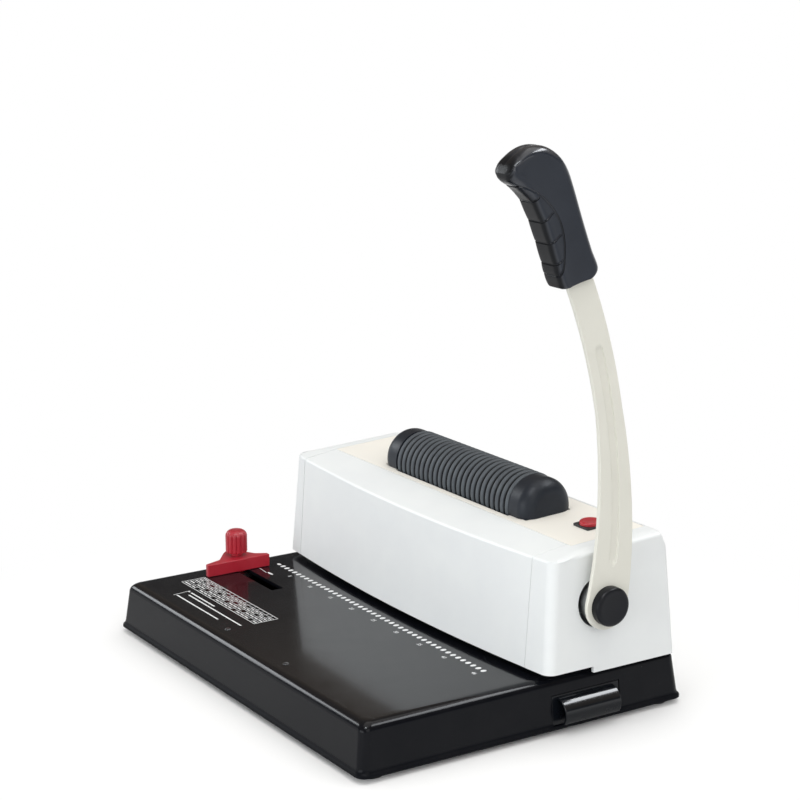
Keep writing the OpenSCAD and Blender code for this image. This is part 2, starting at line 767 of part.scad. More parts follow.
module lever_grip() {
    color([0.1, 0.11, 0.14]) difference() {
        union() {
            grip_block(grip_low);
            grip_block(grip_high);
            grip_block(grip_nose);
        }
        translate([0, pivot_y, pivot_z]) side_plate(lever_x0 - slip, lever_t + 2 * slip)
            polygon(concat(bar_side(grip_a0, lever_a1 + 0.1, -1, slip), bar_side(lever_a1 + 0.1, grip_a0, 1, slip)));
        for (p = grip_screw_yz) {
            bar_x(lever_xm - grip_w, lever_x1 + 6, pivot_y + p[0], pivot_z + p[1], screw_d + 2 * slip);
            bar_x(lever_xm - grip_w, lever_x0 - 4.5, pivot_y + p[0], pivot_z + p[1], 7.4);
        }
    }
}

module grip_screws() {
    color([0.2, 0.2, 0.21]) for (p = grip_screw_yz) {
        bar_x(lever_x0 - 4.5, lever_x1 + 5, pivot_y + p[0], pivot_z + p[1], screw_d);
        bar_x(lever_x0 - 6.5, lever_x0 - 4.5, pivot_y + p[0], pivot_z + p[1], 7);
    }
}

// Covers

// Outside of the housing, moved in by a wall: a bowed cone cut by a side and a front profile
module house_form(wall) {
    top = 60;
    full = house_h + top;
    low = deck_z - (wall > 0 ? 1 : 0);
    difference() {
        house_block(wall, full, low);
        for (side = [-1, 1]) corner_cut(side, wall);
    }
}

// What rounding takes off the housing's two upright front corners
corner_r = 8;
module corner_cut(side, wall) {
    // Slope of the bowed front where it meets the end
    lean = asin(house_w / 2 / bow_r);
    cy = corner_r / cos(lean) - corner_r * tan(lean);
    r = corner_r - wall;
    translate([side > 0 ? hx1 : hx0, hy0, deck_z]) multmatrix([[1, 0, -side * side_slope, 0],
        [0, 1, front_slope, 0], [0, 0, 1, 0]]) translate([-side * corner_r, cy, -3]) mirror([side < 0 ? 1 : 0, 0, 0])
        difference() {
            linear_extrude(house_h + 20) polygon([[0, 0], [r, 0], [r + 9, 0], [r + 9, -r - 12],
                [(r + 12) * sin(lean), -(r + 12) * cos(lean)]]);
            translate([0, 0, -1]) cylinder(r = r, h = house_h + 22);
        }
}

module house_block(wall, full, low) {
    intersection() {
        translate([hxm, hy0 - bow + bow_r, throat_z])
            translate([0, 0, low - throat_z]) cylinder(r1 = bow_r - wall - (low - throat_z) * front_slope,
                r2 = bow_r - wall - (full + low - throat_z) * front_slope, h = full, $fn = 720);
        side_plate(hx0 - 5, house_w + 10) polygon([[hy0 - 30, low], [hy1 - wall, low],
            [hy1 - wall - (house_h - 3) * rear_slope, ridge_z - 3],
            [panel_y1 + 3, panel_z(panel_y1 + 3) - wall], [panel_y0, panel_z0 - wall],
            [hy0 - 30, panel_z0 - wall - (panel_y0 - hy0 + 30) * tan(9)]]);
        translate([0, hy1 + 5, 0]) rotate([90, 0, 0]) linear_extrude(house_d + 40) polygon([
            [hx0 + wall, low], [hx1 - wall, low],
            [hx1 - wall - house_h * side_slope, ridge_z + 1 - wall / 2],
            [hx1 - wall - border, ridge_z + 7 - wall], [hx1 - border - 20, ridge_z + 30],
            [hx0 + border + 20, ridge_z + 30], [hx0 + wall + border, ridge_z + 7 - wall],
            [hx0 + wall + house_h * side_slope, ridge_z + 1 - wall / 2]]);
    }
}

module house_shell() {
    difference() {
        house_form(0);
        house_form(cover_wall);
        // The throat is open under the front and round to the ends
        box(hx0 - 10, hx1 + 10, hy0 - 40, throat_end_y, deck_z - 2, throat_z);
    }
}

seam_l = hx0 + left_cover_w;
seam_r = hx1 - right_cover_w;
boss_yz = [[frame_y0 + 8, frame_z1 - 16], [frame_y1 - 8, pivot_z - 24], [frame_y1 - 24, frame_z1 - 16]];

module boss_x(x0, x1, p) {
    difference() {
        bar_x(x0, x1, p[0], p[1], 9);
        bar_x(x0 - 1, x1 + 1, p[0], p[1], 3);
    }
}

module left_end_cover() {
    color([0.88, 0.89, 0.9]) {
        intersection() {
            house_shell();
            box(hx0 - 10, seam_l - seam, hy0 - 40, hy1 + 10, deck_z - 5, ridge_z + 40);
        }
        for (p = boss_yz) boss_x(hx0 + cover_wall + (p[1] - deck_z) * side_slope - 0.6, frame_xl - frame_t, p);
    }
}

module right_end_cover() {
    color([0.88, 0.89, 0.9]) {
        difference() {
            intersection() {
                house_shell();
                box(seam_r + seam, hx1 + 10, hy0 - 40, hy1 + 10, deck_z - 5, ridge_z + 40);
            }
            bar_x(seam_r, hx1 + 10, pivot_y, pivot_z, 2 * cover_hole_r);
            box(seam_r - 1, panel_x1 + seam, panel_y0 - seam, panel_y1 + seam, ridge_z - 2, ridge_z + 40);
        }
        for (p = boss_yz) boss_x(frame_xr + frame_t, hx1 - cover_wall - (p[1] - deck_z) * side_slope + 0.6, p);
    }
}

module front_cover() {
    color([0.88, 0.89, 0.9]) {
        intersection() {
            house_shell();
            box(seam_l, seam_r, hy0 - 40, panel_y0 - seam, deck_z - 5, ridge_z + 40);
        }
        // Two posts that meet the front tie bar
        for (x = rod_x) translate([x + 30, tie_y0, tie_z0 + tie_h / 2]) rotate([90, 0, 0])
            cylinder(d = 7, h = tie_y0 - hy0 - front_post(x + 30));
    }
}

// How far the cover's inner face at a place along X lies behind the housing's front ends
function front_post(x) = cover_wall - 0.6 + (tie_z0 + tie_h / 2 - throat_z) * front_slope
    - bow + bow_r - sqrt(bow_r * bow_r - (x - hxm) * (x - hxm));

module top_panel() {
    color([0.92, 0.91, 0.88]) difference() {
        intersection() {
            house_shell();
            box(panel_x0, panel_x1, panel_y0, panel_y1, ridge_z - 4, ridge_z + 40);
        }
        // Slot of the roller and of its bearings under the hoods
        box(hood_x0 + hood_wall, hood_x1 - hood_wall, roller_y - roller_d / 2 - slot_clear,
            roller_y + roller_d / 2 + slot_clear, ridge_z - 10, ridge_z + 40);
        panel_place(button_x, button_y) translate([0, 0, -10]) cylinder(d = barrel_d + 2 * slip, h = 20);
    }
}

// Puts children on the top panel, square to its surface
module panel_place(x, y) {
    translate([x, y, panel_z(y)]) rotate([panel_tilt, 0, 0]) children();
}

module rear_cover() {
    color([0.88, 0.89, 0.9]) difference() {
        intersection() {
            house_shell();
            box(seam_l, seam_r, throat_end_y + 10, hy1 + 10, deck_z - 5, ridge_z + 40);
        }
        box(seam_l - 1, panel_x1 + seam, hy0, panel_y1 + seam, ridge_z - 9, ridge_z + 40);
        for (x = rear_screw_x)
            translate([x, hy1 + 5, rear_tie_z1 - 4]) rotate([90, 0, 0]) cylinder(d = 3.4, h = 20);
    }
}

rear_screw_x = [row_xm - 120, row_xm, row_xm + 120];

module rear_cover_screws() {
    seat = hy1 - (rear_tie_z1 - 4 - deck_z) * rear_slope;
    color([0.2, 0.2, 0.21]) for (x = rear_screw_x)
        translate([x, seat + 0.2, rear_tie_z1 - 4]) rotate([90, 0, 0]) {
            cylinder(d = 2.9, h = seat + 0.2 - frame_y1 + 7);
            translate([0, 0, -1.8]) cylinder(d = 7, h = 1.8);
        }
}

// Roller

module rib_profile() {
    r = roller_d / 2;
    rib = roller_len / rib_count;
    core = core_d / 2 + fit;
    points = [for (i = [0 : rib_count - 1]) let (x = i * rib)
        each [[r - rib_depth, x], [r - rib_depth, x + rib * 0.26], [r - 0.4, x + rib * 0.36],
            [r, x + rib * 0.5], [r, x + rib * 0.74], [r - 0.4, x + rib * 0.9], [r - rib_depth, x + rib]]];
    polygon(concat([[core, 0]], points, [[core, roller_len]]));
}

core_d = roller_d - 9;

module roller_sleeve() {
    color([0.3, 0.31, 0.33]) translate([roller_x0, roller_y, roller_z]) rotate([0, 90, 0])
        rotate_extrude() rib_profile();
}

module roller_core() {
    color([0.6, 0.6, 0.62]) difference() {
        bar_x(roller_x0 + 0.5, roller_x1 - 0.5, roller_y, roller_z, core_d);
        bar_x(roller_x0, roller_x1, roller_y, roller_z, roller_shaft_d + 2 * fit);
    }
}

module roller_shaft() {
    color([0.75, 0.76, 0.78])
        bar_x(pulley_x0 - 0.5, cradle_x1 + 6, roller_y, roller_z, roller_shaft_d);
}

module pulley(x, y, z, r, bore) {
    difference() {
        union() {
            bar_x(x, x + pulley_w, y, z, 2 * r);
            bar_x(x, x + 1, y, z, 2 * r + 2);
            bar_x(x + pulley_w - 1, x + pulley_w, y, z, 2 * r + 2);
        }
        bar_x(x - 1, x + pulley_w + 1, y, z, bore);
    }
}

module roller_pulley() {
    color([0.15, 0.15, 0.16]) pulley(pulley_x0, roller_y, roller_z, roller_pulley_r, roller_shaft_d + 2 * fit);
}

bearing_d = 16;

module roller_bushings() {
    color([0.72, 0.55, 0.3]) for (x = [cradle_x0, cradle_x1]) difference() {
        bar_x(x, x + cradle_t, roller_y, roller_z, bearing_d - 2 * fit);
        bar_x(x - 1, x + cradle_t + 1, roller_y, roller_z, roller_shaft_d + 2 * fit);
    }
}

module cheek_outline() {
    low = rear_tie_z1;
    translate([roller_y, roller_z]) circle(14);
    polygon([[roller_y - 14, roller_z], [roller_y - 18, low], [frame_y1, low], [frame_y1, low + 6],
        [roller_y + 14, roller_z]]);
}

// Folded steel cradle under the roller, screwed to the rear tie bar
module roller_cradle() {
    color([0.6, 0.61, 0.63]) difference() {
        union() {
            box(cradle_x0, cradle_x1 + cradle_t, roller_y - 18, frame_y1, rear_tie_z1, rear_tie_z1 + cradle_t);
            for (x = [cradle_x0, cradle_x1]) side_plate(x, cradle_t) cheek_outline();
        }
        for (x = [cradle_x0, cradle_x1]) bar_x(x - 1, x + cradle_t + 1, roller_y, roller_z, bearing_d);
    }
}

// Flat belt round two pulleys, as a band between two hulls
module belt_form(more) {
    hull() {
        translate([roller_y, roller_z]) circle(roller_pulley_r + more);
        translate([motor_y, motor_z]) circle(motor_pulley_r + more);
    }
}

module drive_belt() {
    color([0.06, 0.06, 0.06]) side_plate(pulley_x0 + 1 + slip, pulley_w - 2 - 2 * slip) difference() {
        belt_form(belt_t + slip);
        belt_form(slip);
    }
}

module motor_pulley() {
    color([0.15, 0.15, 0.16]) {
        pulley(pulley_x0, motor_y, motor_z, motor_pulley_r, motor_shaft_d);
        bar_x(pulley_x0 + 0.5, bracket_x - gap, motor_y, motor_z, motor_shaft_d);
        bar_x(bracket_x - gap, bracket_x + bracket_t + 3, motor_y, motor_z, motor_shaft_d - 1);
    }
}

bracket_t = 2;
bracket_x = pulley_x0 + pulley_w + 3;

// Plate hung from the rear tie bar that the motor is bolted to
module motor_bracket() {
    color([0.6, 0.61, 0.63]) difference() {
        union() {
            box(bracket_x, bracket_x + bracket_t, motor_y - 19, frame_y1, motor_z - 19, rear_tie_z1 - 8);
            box(bracket_x, bracket_x + 30, rear_tie_y0, frame_y1, rear_tie_z1 - 8 - bracket_t, rear_tie_z1 - 8);
        }
        bar_x(bracket_x - 1, bracket_x + bracket_t + 1, motor_y, motor_z, 11);
    }
}

module gear_motor() {
    x0 = bracket_x + bracket_t;
    color([0.35, 0.36, 0.38]) difference() {
        union() {
            bar_x(x0, x0 + 26, motor_y, motor_z, 2 * motor_r);
            bar_x(x0 + 26, x0 + 62, motor_y, motor_z, 2 * motor_r - 3);
            bar_x(x0 + 62, x0 + 65, motor_y, motor_z, 10);
        }
        bar_x(x0 - 1, x0 + 5, motor_y, motor_z, 11);
        box(x0 + 24, x0 + 70, rear_tie_y0, motor_y + 40, rear_tie_z1 - 8 - gap, rear_tie_z1 + 20);
        box(x0 - 1, x0 + 32, rear_tie_y0 - gap, motor_y + 40, rear_tie_z1 - 8 - bracket_t - gap, rear_tie_z1 + 20);
    }
}

// Fixed hood over the end of the roller: a round cap cut off at the top panel
module hood(x0, side) {
    difference() {
        translate([x0, roller_y, roller_z]) rotate([0, 90 * side, 0]) difference() {
            rotate_extrude() hood_profile(0);
            translate([0, 0, -0.01]) rotate_extrude() hood_profile(hood_wall);
        }
        panel_place(x0, roller_y) translate([-60, -60, -100]) cube([120, 120, 100]);
    }
}

module hood_profile(wall) {
    r = hood_r - wall;
    h = hood_len - wall;
    round = hood_round - wall;
    square([r - round, h]);
    square([r, h - round]);
    translate([r - round, h - round]) intersection() {
        circle(round);
        square(round + 1);
    }
}

module roller_hood_left() {
    color([0.2, 0.22, 0.25]) hood(roller_x0 - gap, -1);
}

module roller_hood_right() {
    color([0.2, 0.22, 0.25]) hood(roller_x1 + gap, 1);
}

// Electrics

module power_supply() {
    color([0.5, 0.5, 0.45]) {
        box(xm + 50, xm + 110, tray_y1 + 10, tray_y1 + 46, floor_z, floor_z + 4);
        box(xm + 56, xm + 104, tray_y1 + 13, tray_y1 + 43, floor_z + 4, deck_z - 6);
    }
}

module control_board() {
    x0 = xm - 70;
    y0 = tray_y1 + 9;
    color([0.05, 0.3, 0.15]) {
        box(x0, x0 + 80, y0, y0 + 40, floor_z + 6, floor_z + 7.6);
        for (x = [x0 + 5, x0 + 75], y = [y0 + 5, y0 + 35]) translate([x, y, floor_z]) cylinder(d = 5, h = 6.01);
        box(x0 + 10, x0 + 28, y0 + 12, y0 + 28, floor_z + 7.6, floor_z + 22);
        translate([x0 + 42, y0 + 20, floor_z + 7.6]) cylinder(d = 12, h = 14);
        box(x0 + 56, x0 + 72, y0 + 10, y0 + 20, floor_z + 7.6, floor_z + 16);
    }
}

inlet_x = xr - 60;
inlet_z = foot_h + 15;
// Outer face of the base's rear wall at a height
function wall_y(z) = yb - 1.5 - (shell_draft - 2.5) * (z - foot_h - 2) / (shell_h - 7);

module power_inlet() {
    color([0.06, 0.06, 0.07]) difference() {
        union() {
            box(inlet_x - 13.7, inlet_x + 13.7, yb - 26, wall_y(inlet_z), inlet_z - 10, inlet_z + 10);
            side_plate(inlet_x - 17, 34) polygon([
                for (p = [[slip, -12], [slip, 12], [1.3, 12], [1.3, -12]])
                    [wall_y(inlet_z + p[1]) + p[0], inlet_z + p[1]]]);
        }
        box(inlet_x - 11.5, inlet_x + 11.5, yb - 20, yb + 1, inlet_z - 7.5, inlet_z + 7.5);
    }
}

// Start button

module button_bezel() {
    color([0.05, 0.05, 0.06]) panel_place(button_x, button_y) difference() {
        union() {
            translate([-bezel_w / 2, -bezel_w / 2, 0]) cube([bezel_w, bezel_w, bezel_t]);
            translate([0, 0, -barrel_h]) cylinder(d = barrel_d, h = barrel_h + 0.01);
        }
        translate([0, 0, 1.5 - barrel_h]) cylinder(d = button_d + gap, h = barrel_h + 2);
        translate([0, 0, -barrel_h - 1]) cylinder(d = stem_d + 2 * fit, h = 5);
    }
}

stem_d = 5;
barrel_d = button_d + 1.7;
cap_skirt = 3.5;
barrel_h = cap_skirt + button_travel + 7.3;

module button_cap() {
    color([0.75, 0.15, 0.2]) panel_place(button_x, button_y) {
        translate([0, 0, -cap_skirt]) cylinder(d = button_d, h = bezel_t + cap_rise + cap_skirt - 0.8);
        translate([0, 0, bezel_t + cap_rise - 0.8]) cylinder(d1 = button_d, d2 = button_d - 1.8, h = 0.8);
        translate([0, 0, -barrel_h - 3]) cylinder(d = stem_d, h = barrel_h);
    }
}

module button_spring() {
    h = barrel_h - 1.5 - cap_skirt - 2 * slip - 0.4;
    mid = (barrel_h - 1.5 + cap_skirt) / 2;
    color([0.75, 0.76, 0.78]) translate([button_x, button_y + mid * sin(panel_tilt),
        panel_z(button_y) - mid * cos(panel_tilt) - h / 2]) coil_spring(4.6, 0.35, 5, h);
}

// Edge guide

module guide_outline() {
    mid = slot_y;
    nose = guide_x1 - 26;
    polygon([[guide_x1, guide_y0], [guide_x1, guide_y0 + guide_len],
        [guide_x1 - 4, guide_y0 + guide_len], [guide_x1 - 9, mid + 15], [nose + 3, mid + 7],
        [nose, mid + 4], [nose, mid - 4], [nose + 3, mid - 7], [guide_x1 - 9, mid - 18],
        [guide_x1 - 4, guide_y0]]);
}

module edge_guide() {
    color([0.72, 0.12, 0.2]) difference() {
        union() {
            translate([0, 0, deck_z + gap]) linear_extrude(guide_h) guide_outline();
            translate([knob_x - tongue, slot_y - slot_w / 2 + gap, deck_z - shell_wall + gap])
                cube([2 * tongue, slot_w - 2 * gap, shell_wall + 0.5]);
        }
        translate([knob_x, slot_y, deck_z - 10]) cylinder(d = stud_d + 2 * fit, h = 40);
    }
}

module guide_knob() {
    z0 = deck_z + gap + guide_h;
    flutes = 16;
    color([0.72, 0.12, 0.2]) translate([knob_x, slot_y, z0]) {
        difference() {
            rotate_extrude() {
                translate([0, slip]) square([4.6, knob_neck]);
                translate([0, knob_neck]) square([knob_d / 2 - 1, knob_h - knob_neck - 3]);
                translate([0, knob_neck + 1]) square([knob_d / 2, knob_h - knob_neck - 5]);
                translate([0, knob_h - 4]) square([knob_d / 2 - 4, 4]);
                translate([knob_d / 2 - 4, knob_h - 4]) circle(4);
            }
            for (i = [0 : flutes - 1]) rotate(i * 360 / flutes)
                translate([knob_d / 2 + 0.6, 0, knob_neck - 1]) cylinder(d = 2.6, h = knob_h - 5, $fn = 24);
        }
        translate([0, 0, -guide_h - gap - shell_wall - 7]) cylinder(d = stud_d, h = guide_h + shell_wall + 9);
    }
}

module guide_clamp_nut() {
    color([0.7, 0.7, 0.72]) difference() {
        translate([knob_x - 5.5, slot_y - 8, deck_z - shell_wall - gap - 4]) cube([16, 16, 4]);
        translate([knob_x, slot_y, deck_z - 20]) cylinder(d = stud_d + 2 * fit, h = 40);
    }
}

// Chip tray

module chip_tray() {
    color([0.06, 0.06, 0.065]) difference() {
        box(tray_x0, tray_x1, tray_y0, tray_y1, tray_z0, tray_z0 + tray_h);
        box(tray_x0 + tray_wall, tray_x1 - tray_wall, tray_y0 + tray_wall, tray_y1 - tray_wall,
            tray_z0 + tray_wall, tray_z0 + tray_h + 1);
    }
}

module tray_pull() {
    color([0.06, 0.06, 0.065]) difference() {
        union() {
            intersection() {
                translate([pull_x, pull_y0 + pull_len, pull_z]) rotate([90, 0, 0]) difference() {
                    cylinder(r = pull_r, h = pull_len);
                    translate([0, 0, -1]) cylinder(r = pull_r - pull_t, h = pull_len + 2);
                }
                box(pull_x, pull_x + 30, pull_y0 - 1, pull_y0 + pull_len + 1, pull_z - 6.5, pull_z + 20);
            }
            // Flange that closes the window above the tray
            box(tray_x1, tray_x1 + 1.5, tray_y0, tray_y1, tray_z0, pull_z + pull_r + 1.2);
        }
    }
}

base_cover();
base_plate();
rubber_feet();
foot_screws();
deck_support();
deck_rivets();
side_frame_left();
side_frame_right();
die_plate();
punch_guide();
depth_stop();
front_tie_bar();
rear_tie_bar();
frame_screws();
guide_rods();
return_springs();
shaft_bushings();
punch_bar();
pin_retainer();
punch_pins();
cam_yokes();
yoke_screws();
cam_shaft();
eccentrics();
shaft_clip();
lever_hub();
lever_arm();
lever_bolt();
pivot_cap();
lever_grip();
grip_screws();
front_cover();
left_end_cover();
right_end_cover();
top_panel();
rear_cover();
rear_cover_screws();
roller_hood_left();
roller_hood_right();
roller_sleeve();
roller_core();
roller_shaft();
roller_pulley();
roller_bushings();
roller_cradle();
drive_belt();
motor_pulley();
gear_motor();
motor_bracket();
power_supply();
control_board();
power_inlet();
button_bezel();
button_cap();
button_spring();
edge_guide();
guide_knob();
guide_clamp_nut();
chip_tray();
tray_pull();
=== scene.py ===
import json
from math import asin, atan2, cos, hypot, pi, radians, sin, sqrt, tan

import bmesh
import bpy
from mathutils import Matrix, Vector

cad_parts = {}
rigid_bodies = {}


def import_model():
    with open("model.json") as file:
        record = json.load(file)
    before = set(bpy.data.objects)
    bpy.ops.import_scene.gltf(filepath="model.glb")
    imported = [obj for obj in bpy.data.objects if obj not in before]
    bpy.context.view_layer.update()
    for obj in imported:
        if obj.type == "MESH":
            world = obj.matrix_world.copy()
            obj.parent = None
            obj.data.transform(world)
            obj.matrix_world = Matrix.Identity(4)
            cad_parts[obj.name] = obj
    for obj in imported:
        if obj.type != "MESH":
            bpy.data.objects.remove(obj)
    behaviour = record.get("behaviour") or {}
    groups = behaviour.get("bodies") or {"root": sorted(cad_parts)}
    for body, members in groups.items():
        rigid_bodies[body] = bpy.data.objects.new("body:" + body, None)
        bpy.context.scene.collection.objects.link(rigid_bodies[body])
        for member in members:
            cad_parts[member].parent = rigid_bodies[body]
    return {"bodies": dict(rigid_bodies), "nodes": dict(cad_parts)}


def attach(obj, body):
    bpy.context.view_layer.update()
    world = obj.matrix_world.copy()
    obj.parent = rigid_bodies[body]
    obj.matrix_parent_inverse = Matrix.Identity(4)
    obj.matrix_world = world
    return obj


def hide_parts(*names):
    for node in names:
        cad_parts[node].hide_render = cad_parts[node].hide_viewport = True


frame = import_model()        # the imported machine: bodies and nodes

scene = bpy.context.scene
mm = 0.001
known = set(frame["nodes"].values()) | set(frame["bodies"].values())
for extra in [obj for obj in scene.objects if obj not in known]:
    bpy.data.objects.remove(extra)        # the cube, lamp and camera of a fresh file
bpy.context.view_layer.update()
print("frame loaded:", len(frame["nodes"]), "nodes")

# camera at the photograph's place, in metres and degrees; focal length and frame in pixels
view = {"place": (1.27766, -0.81336, 0.57200), "azimuth": 57.31, "elevation": 13.45, "roll": -0.2,
        "focal": 2100.2, "frame": 800, "sensor": 36, "nearest": 0.02}
# lamps: place, target, size, watts and tint; the strips show only in the gloss
softboxes = {"overheadSoftbox": ((0.15, 0.1, 1.7), (0, 0, 0.1), (1.8, 1.4), 8.8, (1, 0.99, 0.965)),
             "rightSoftbox": ((1.9, -0.5, 1.1), (0.05, 0, 0.15), (1.2, 1.2), 9.0, (1, 0.995, 0.985)),
             "frontSoftbox": ((0.35, -2.1, 0.45), (0, 0, 0.08), (1.6, 0.8), 15.8, (0.93, 0.965, 1))}
strips = {"rimStrip": ((0.62, 1.1, 1.62), (0.17, 0, 0.25), (1.3, 0.4), 20, (0.93, 0.96, 1)),
          "noseStrip": ((0.75, -0.72, 1.75), (0.17, 0, 0.3), (0.5, 0.4), 14, (0.93, 0.96, 1)),
          "leftStrip": ((-1.8, -0.95, 0.9), (0, -0.13, 0.04), (0.6, 0.6), 12, (0.93, 0.97, 1))}


def newObject(name, data):
    obj = bpy.data.objects.new(name, data)
    scene.collection.objects.link(obj)
    return obj


def aimCamera():
    cam = bpy.data.cameras.new("photoCamera")
    cam.sensor_width = view["sensor"]
    cam.sensor_fit = "HORIZONTAL"
    cam.lens = view["focal"] / view["frame"] * view["sensor"]
    cam.clip_start = view["nearest"]
    azimuth, elevation, roll = (radians(view[key]) for key in ("azimuth", "elevation", "roll"))
    back = Vector((sin(azimuth) * cos(elevation), -cos(azimuth) * cos(elevation), sin(elevation)))
    right = (-back).cross(Vector((0, 0, 1))).normalized()
    up = right.cross(-back)
    across = right * cos(roll) + up * sin(roll)
    rise = up * cos(roll) - right * sin(roll)
    stance = Matrix((across, rise, back)).transposed().to_4x4()
    stance.translation = Vector(view["place"])
    scene.camera = newObject("photoCamera", cam)
    scene.camera.matrix_world = stance


def hangLamps(lamps, inDiffuse):
    for name, (spot, target, size, watts, tint) in lamps.items():
        lamp = bpy.data.lights.new(name, "AREA")
        lamp.shape = "RECTANGLE"
        lamp.size, lamp.size_y = size
        lamp.energy = watts
        lamp.color = tint
        obj = newObject(name, lamp)
        obj.location = spot
        obj.rotation_euler = (Vector(target) - Vector(spot)).to_track_quat("-Z", "Y").to_euler()
        obj.visible_diffuse = inDiffuse


aimCamera()
hangLamps(softboxes, True)
hangLamps(strips, False)
print("camera and softboxes placed")


class Wire:
    # an output of a node; arithmetic on it adds the Math nodes
    def __init__(self, wiring, socket):
        self.wiring = wiring
        self.socket = socket

    def maths(self, operation, first, second):
        return self.wiring.add("ShaderNodeMath", {"operation": operation}, {0: first, 1: second})

    def __add__(self, other):
        return self.maths("ADD", self, other)

    def __radd__(self, other):
        return self.maths("ADD", other, self)

    def __sub__(self, other):
        return self.maths("SUBTRACT", self, other)

    def __rsub__(self, other):
        return self.maths("SUBTRACT", other, self)

    def __mul__(self, other):
        return self.maths("MULTIPLY", self, other)

    def __rmul__(self, other):
        return self.maths("MULTIPLY", other, self)

    def __pow__(self, other):
        return self.maths("POWER", self, other)

    def __rpow__(self, other):
        return self.maths("POWER", other, self)


class Wiring:
    # makes and joins the nodes of one tree
    def __init__(self, tree):
        self.tree = tree

    def join(self, socket, value):
        if isinstance(value, Wire):
            self.tree.links.new(value.socket, socket)
        else:
            socket.default_value = value

    def add(self, kind, settings=None, values=None, output=0):
        # the settings come first; output is one name or number, or several in a list
        node = self.tree.nodes.new(kind)
        for key, value in (settings or {}).items():
            setattr(node, key, value)
        for key, value in (values or {}).items():
            self.join(node.inputs[key], value)
        if isinstance(output, list):
            return [Wire(self, node.outputs[key]) for key in output]
        return Wire(self, node.outputs[output])

    def ramp(self, value, start, end, low=0.0, high=1.0, smooth=False):
        # low where the value is at start, high where it is at end
        return self.add("ShaderNodeMapRange", {"interpolation_type": "SMOOTHSTEP" if smooth else "LINEAR"},
                        {"Value": value, "From Min": start, "From Max": end, "To Min": low, "To Max": high})

    def blend(self, factor, first, second):
        # sockets 6 and 7 are a Mix node's two colours, and output 2 is its colour
        return self.add("ShaderNodeMix", {"data_type": "RGBA"}, {0: factor, 6: first, 7: second}, output=2)

    def largest(self, first, *others):
        for other in others:
            first = first.maths("MAXIMUM", first, other)
        return first


class Finish(Wiring):
    # one material round a Principled shader, with constants set straight on its sockets
    names = {"colour": "Base Color", "rough": "Roughness", "metal": "Metallic", "coat": "Coat Weight",
             "coatRough": "Coat Roughness", "shine": "Specular IOR Level", "normal": "Normal"}

    def __init__(self, name, **sockets):
        self.material = bpy.data.materials.new(name)
        self.material.use_nodes = True
        super().__init__(self.material.node_tree)
        self.shader = self.tree.nodes["Principled BSDF"]
        self.coords = self.add("ShaderNodeTexCoord", output="Object")
        self.put(**sockets)

    def put(self, **sockets):
        for key, value in sockets.items():
            self.join(self.shader.inputs[self.names[key]], value)

    def noise(self, size, detail=3.0, rough=0.5, coords=None):
        # size: how big one blotch is, in millimetres
        return self.add("ShaderNodeTexNoise", {}, {"Vector": coords or self.coords, "Scale": 1 / (size * mm),
                                                   "Detail": detail, "Roughness": rough})

    def stretched(self, scale):
        return self.add("ShaderNodeVectorMath", {"operation": "MULTIPLY"}, {0: self.coords, 1: scale})

    def split(self, vector=None):
        return self.add("ShaderNodeSeparateXYZ", {}, {0: vector or self.coords}, [0, 1, 2])

    def facing(self):
        # the way the surface faces, in its three parts
        return self.split(self.add("ShaderNodeTexCoord", output="Normal"))

    def bump(self, height, depth, strength=1.0, under=None):
        # depth: the relief's height in millimetres
        values = {"Height": height, "Distance": depth * mm, "Strength": strength}
        if under is not None:
            values["Normal"] = under
        return self.add("ShaderNodeBump", {}, values)


def paint(red, green, blue):
    # a colour as read off a screen, 0 to 255, made linear
    return tuple(c / 12.92 if c <= 0.04045 else ((c + 0.055) / 1.055) ** 2.4
                 for c in (red / 255, green / 255, blue / 255)) + (1.0,)


def sprayed(name, colour, other, rough, grain=0.7, relief=0.02, shine=0.5):
    # sprayed or moulded surface: soft mottling, a fine grain and smudges in the shine
    spread = 0.06
    made = Finish(name, shine=shine)
    cloud = made.noise(38, 4, 0.6)
    smudge = made.noise(11, 5, 0.65)
    fine = made.noise(grain, 2, 0.5)
    made.put(colour=made.blend(made.ramp(cloud, 0.3, 0.7), colour, other),
             rough=made.ramp(smudge, 0.25, 0.75, rough - spread, rough + spread),
             normal=made.bump(fine, relief, 0.6))
    return made


def metal(name, colour, rough, grain=(1, 12, 12)):
    # ground or drawn metal with fine lines along one axis and faint stains
    stained, relief = 0.78, 0.01
    made = Finish(name, metal=1.0)
    lines = made.noise(0.5, 3, 0.6, made.stretched(grain))
    stain = made.noise(16, 5, 0.7)
    darker = tuple(c * stained for c in colour[:3]) + (1.0,)
    made.put(colour=made.blend(made.ramp(stain, 0.35, 0.75), colour, darker),
             rough=made.ramp(lines, 0.3, 0.7, rough - 0.07, rough + 0.1) + (stain - 0.5) * 0.12,
             normal=made.bump(lines, relief, 0.5))
    return made


# shapes are worked in millimetres and made metres when they are placed

def asPiece(name, shape):
    bmesh.ops.recalc_face_normals(shape, faces=shape.faces)
    mesh = bpy.data.meshes.new(name)
    shape.to_mesh(mesh)
    shape.free()
    return newObject(name, mesh)


def skin(shape, rings, closed=False):
    # a skin over rings of points with equal counts, capped at both ends unless closed on itself
    rows = [[shape.verts.new(p) for p in ring] for ring in rings]
    count = len(rows[0])
    for low, high in list(zip(rows, rows[1:])) + ([(rows[-1], rows[0])] if closed else []):
        for i in range(count):
            j = (i + 1) % count
            shape.faces.new((low[i], low[j], high[j], high[i]))
    if not closed:
        shape.faces.new(rows[0][::-1])
        shape.faces.new(rows[-1])


def loft(name, rings, closed=False):
    shape = bmesh.new()
    skin(shape, rings, closed)
    return asPiece(name, shape)


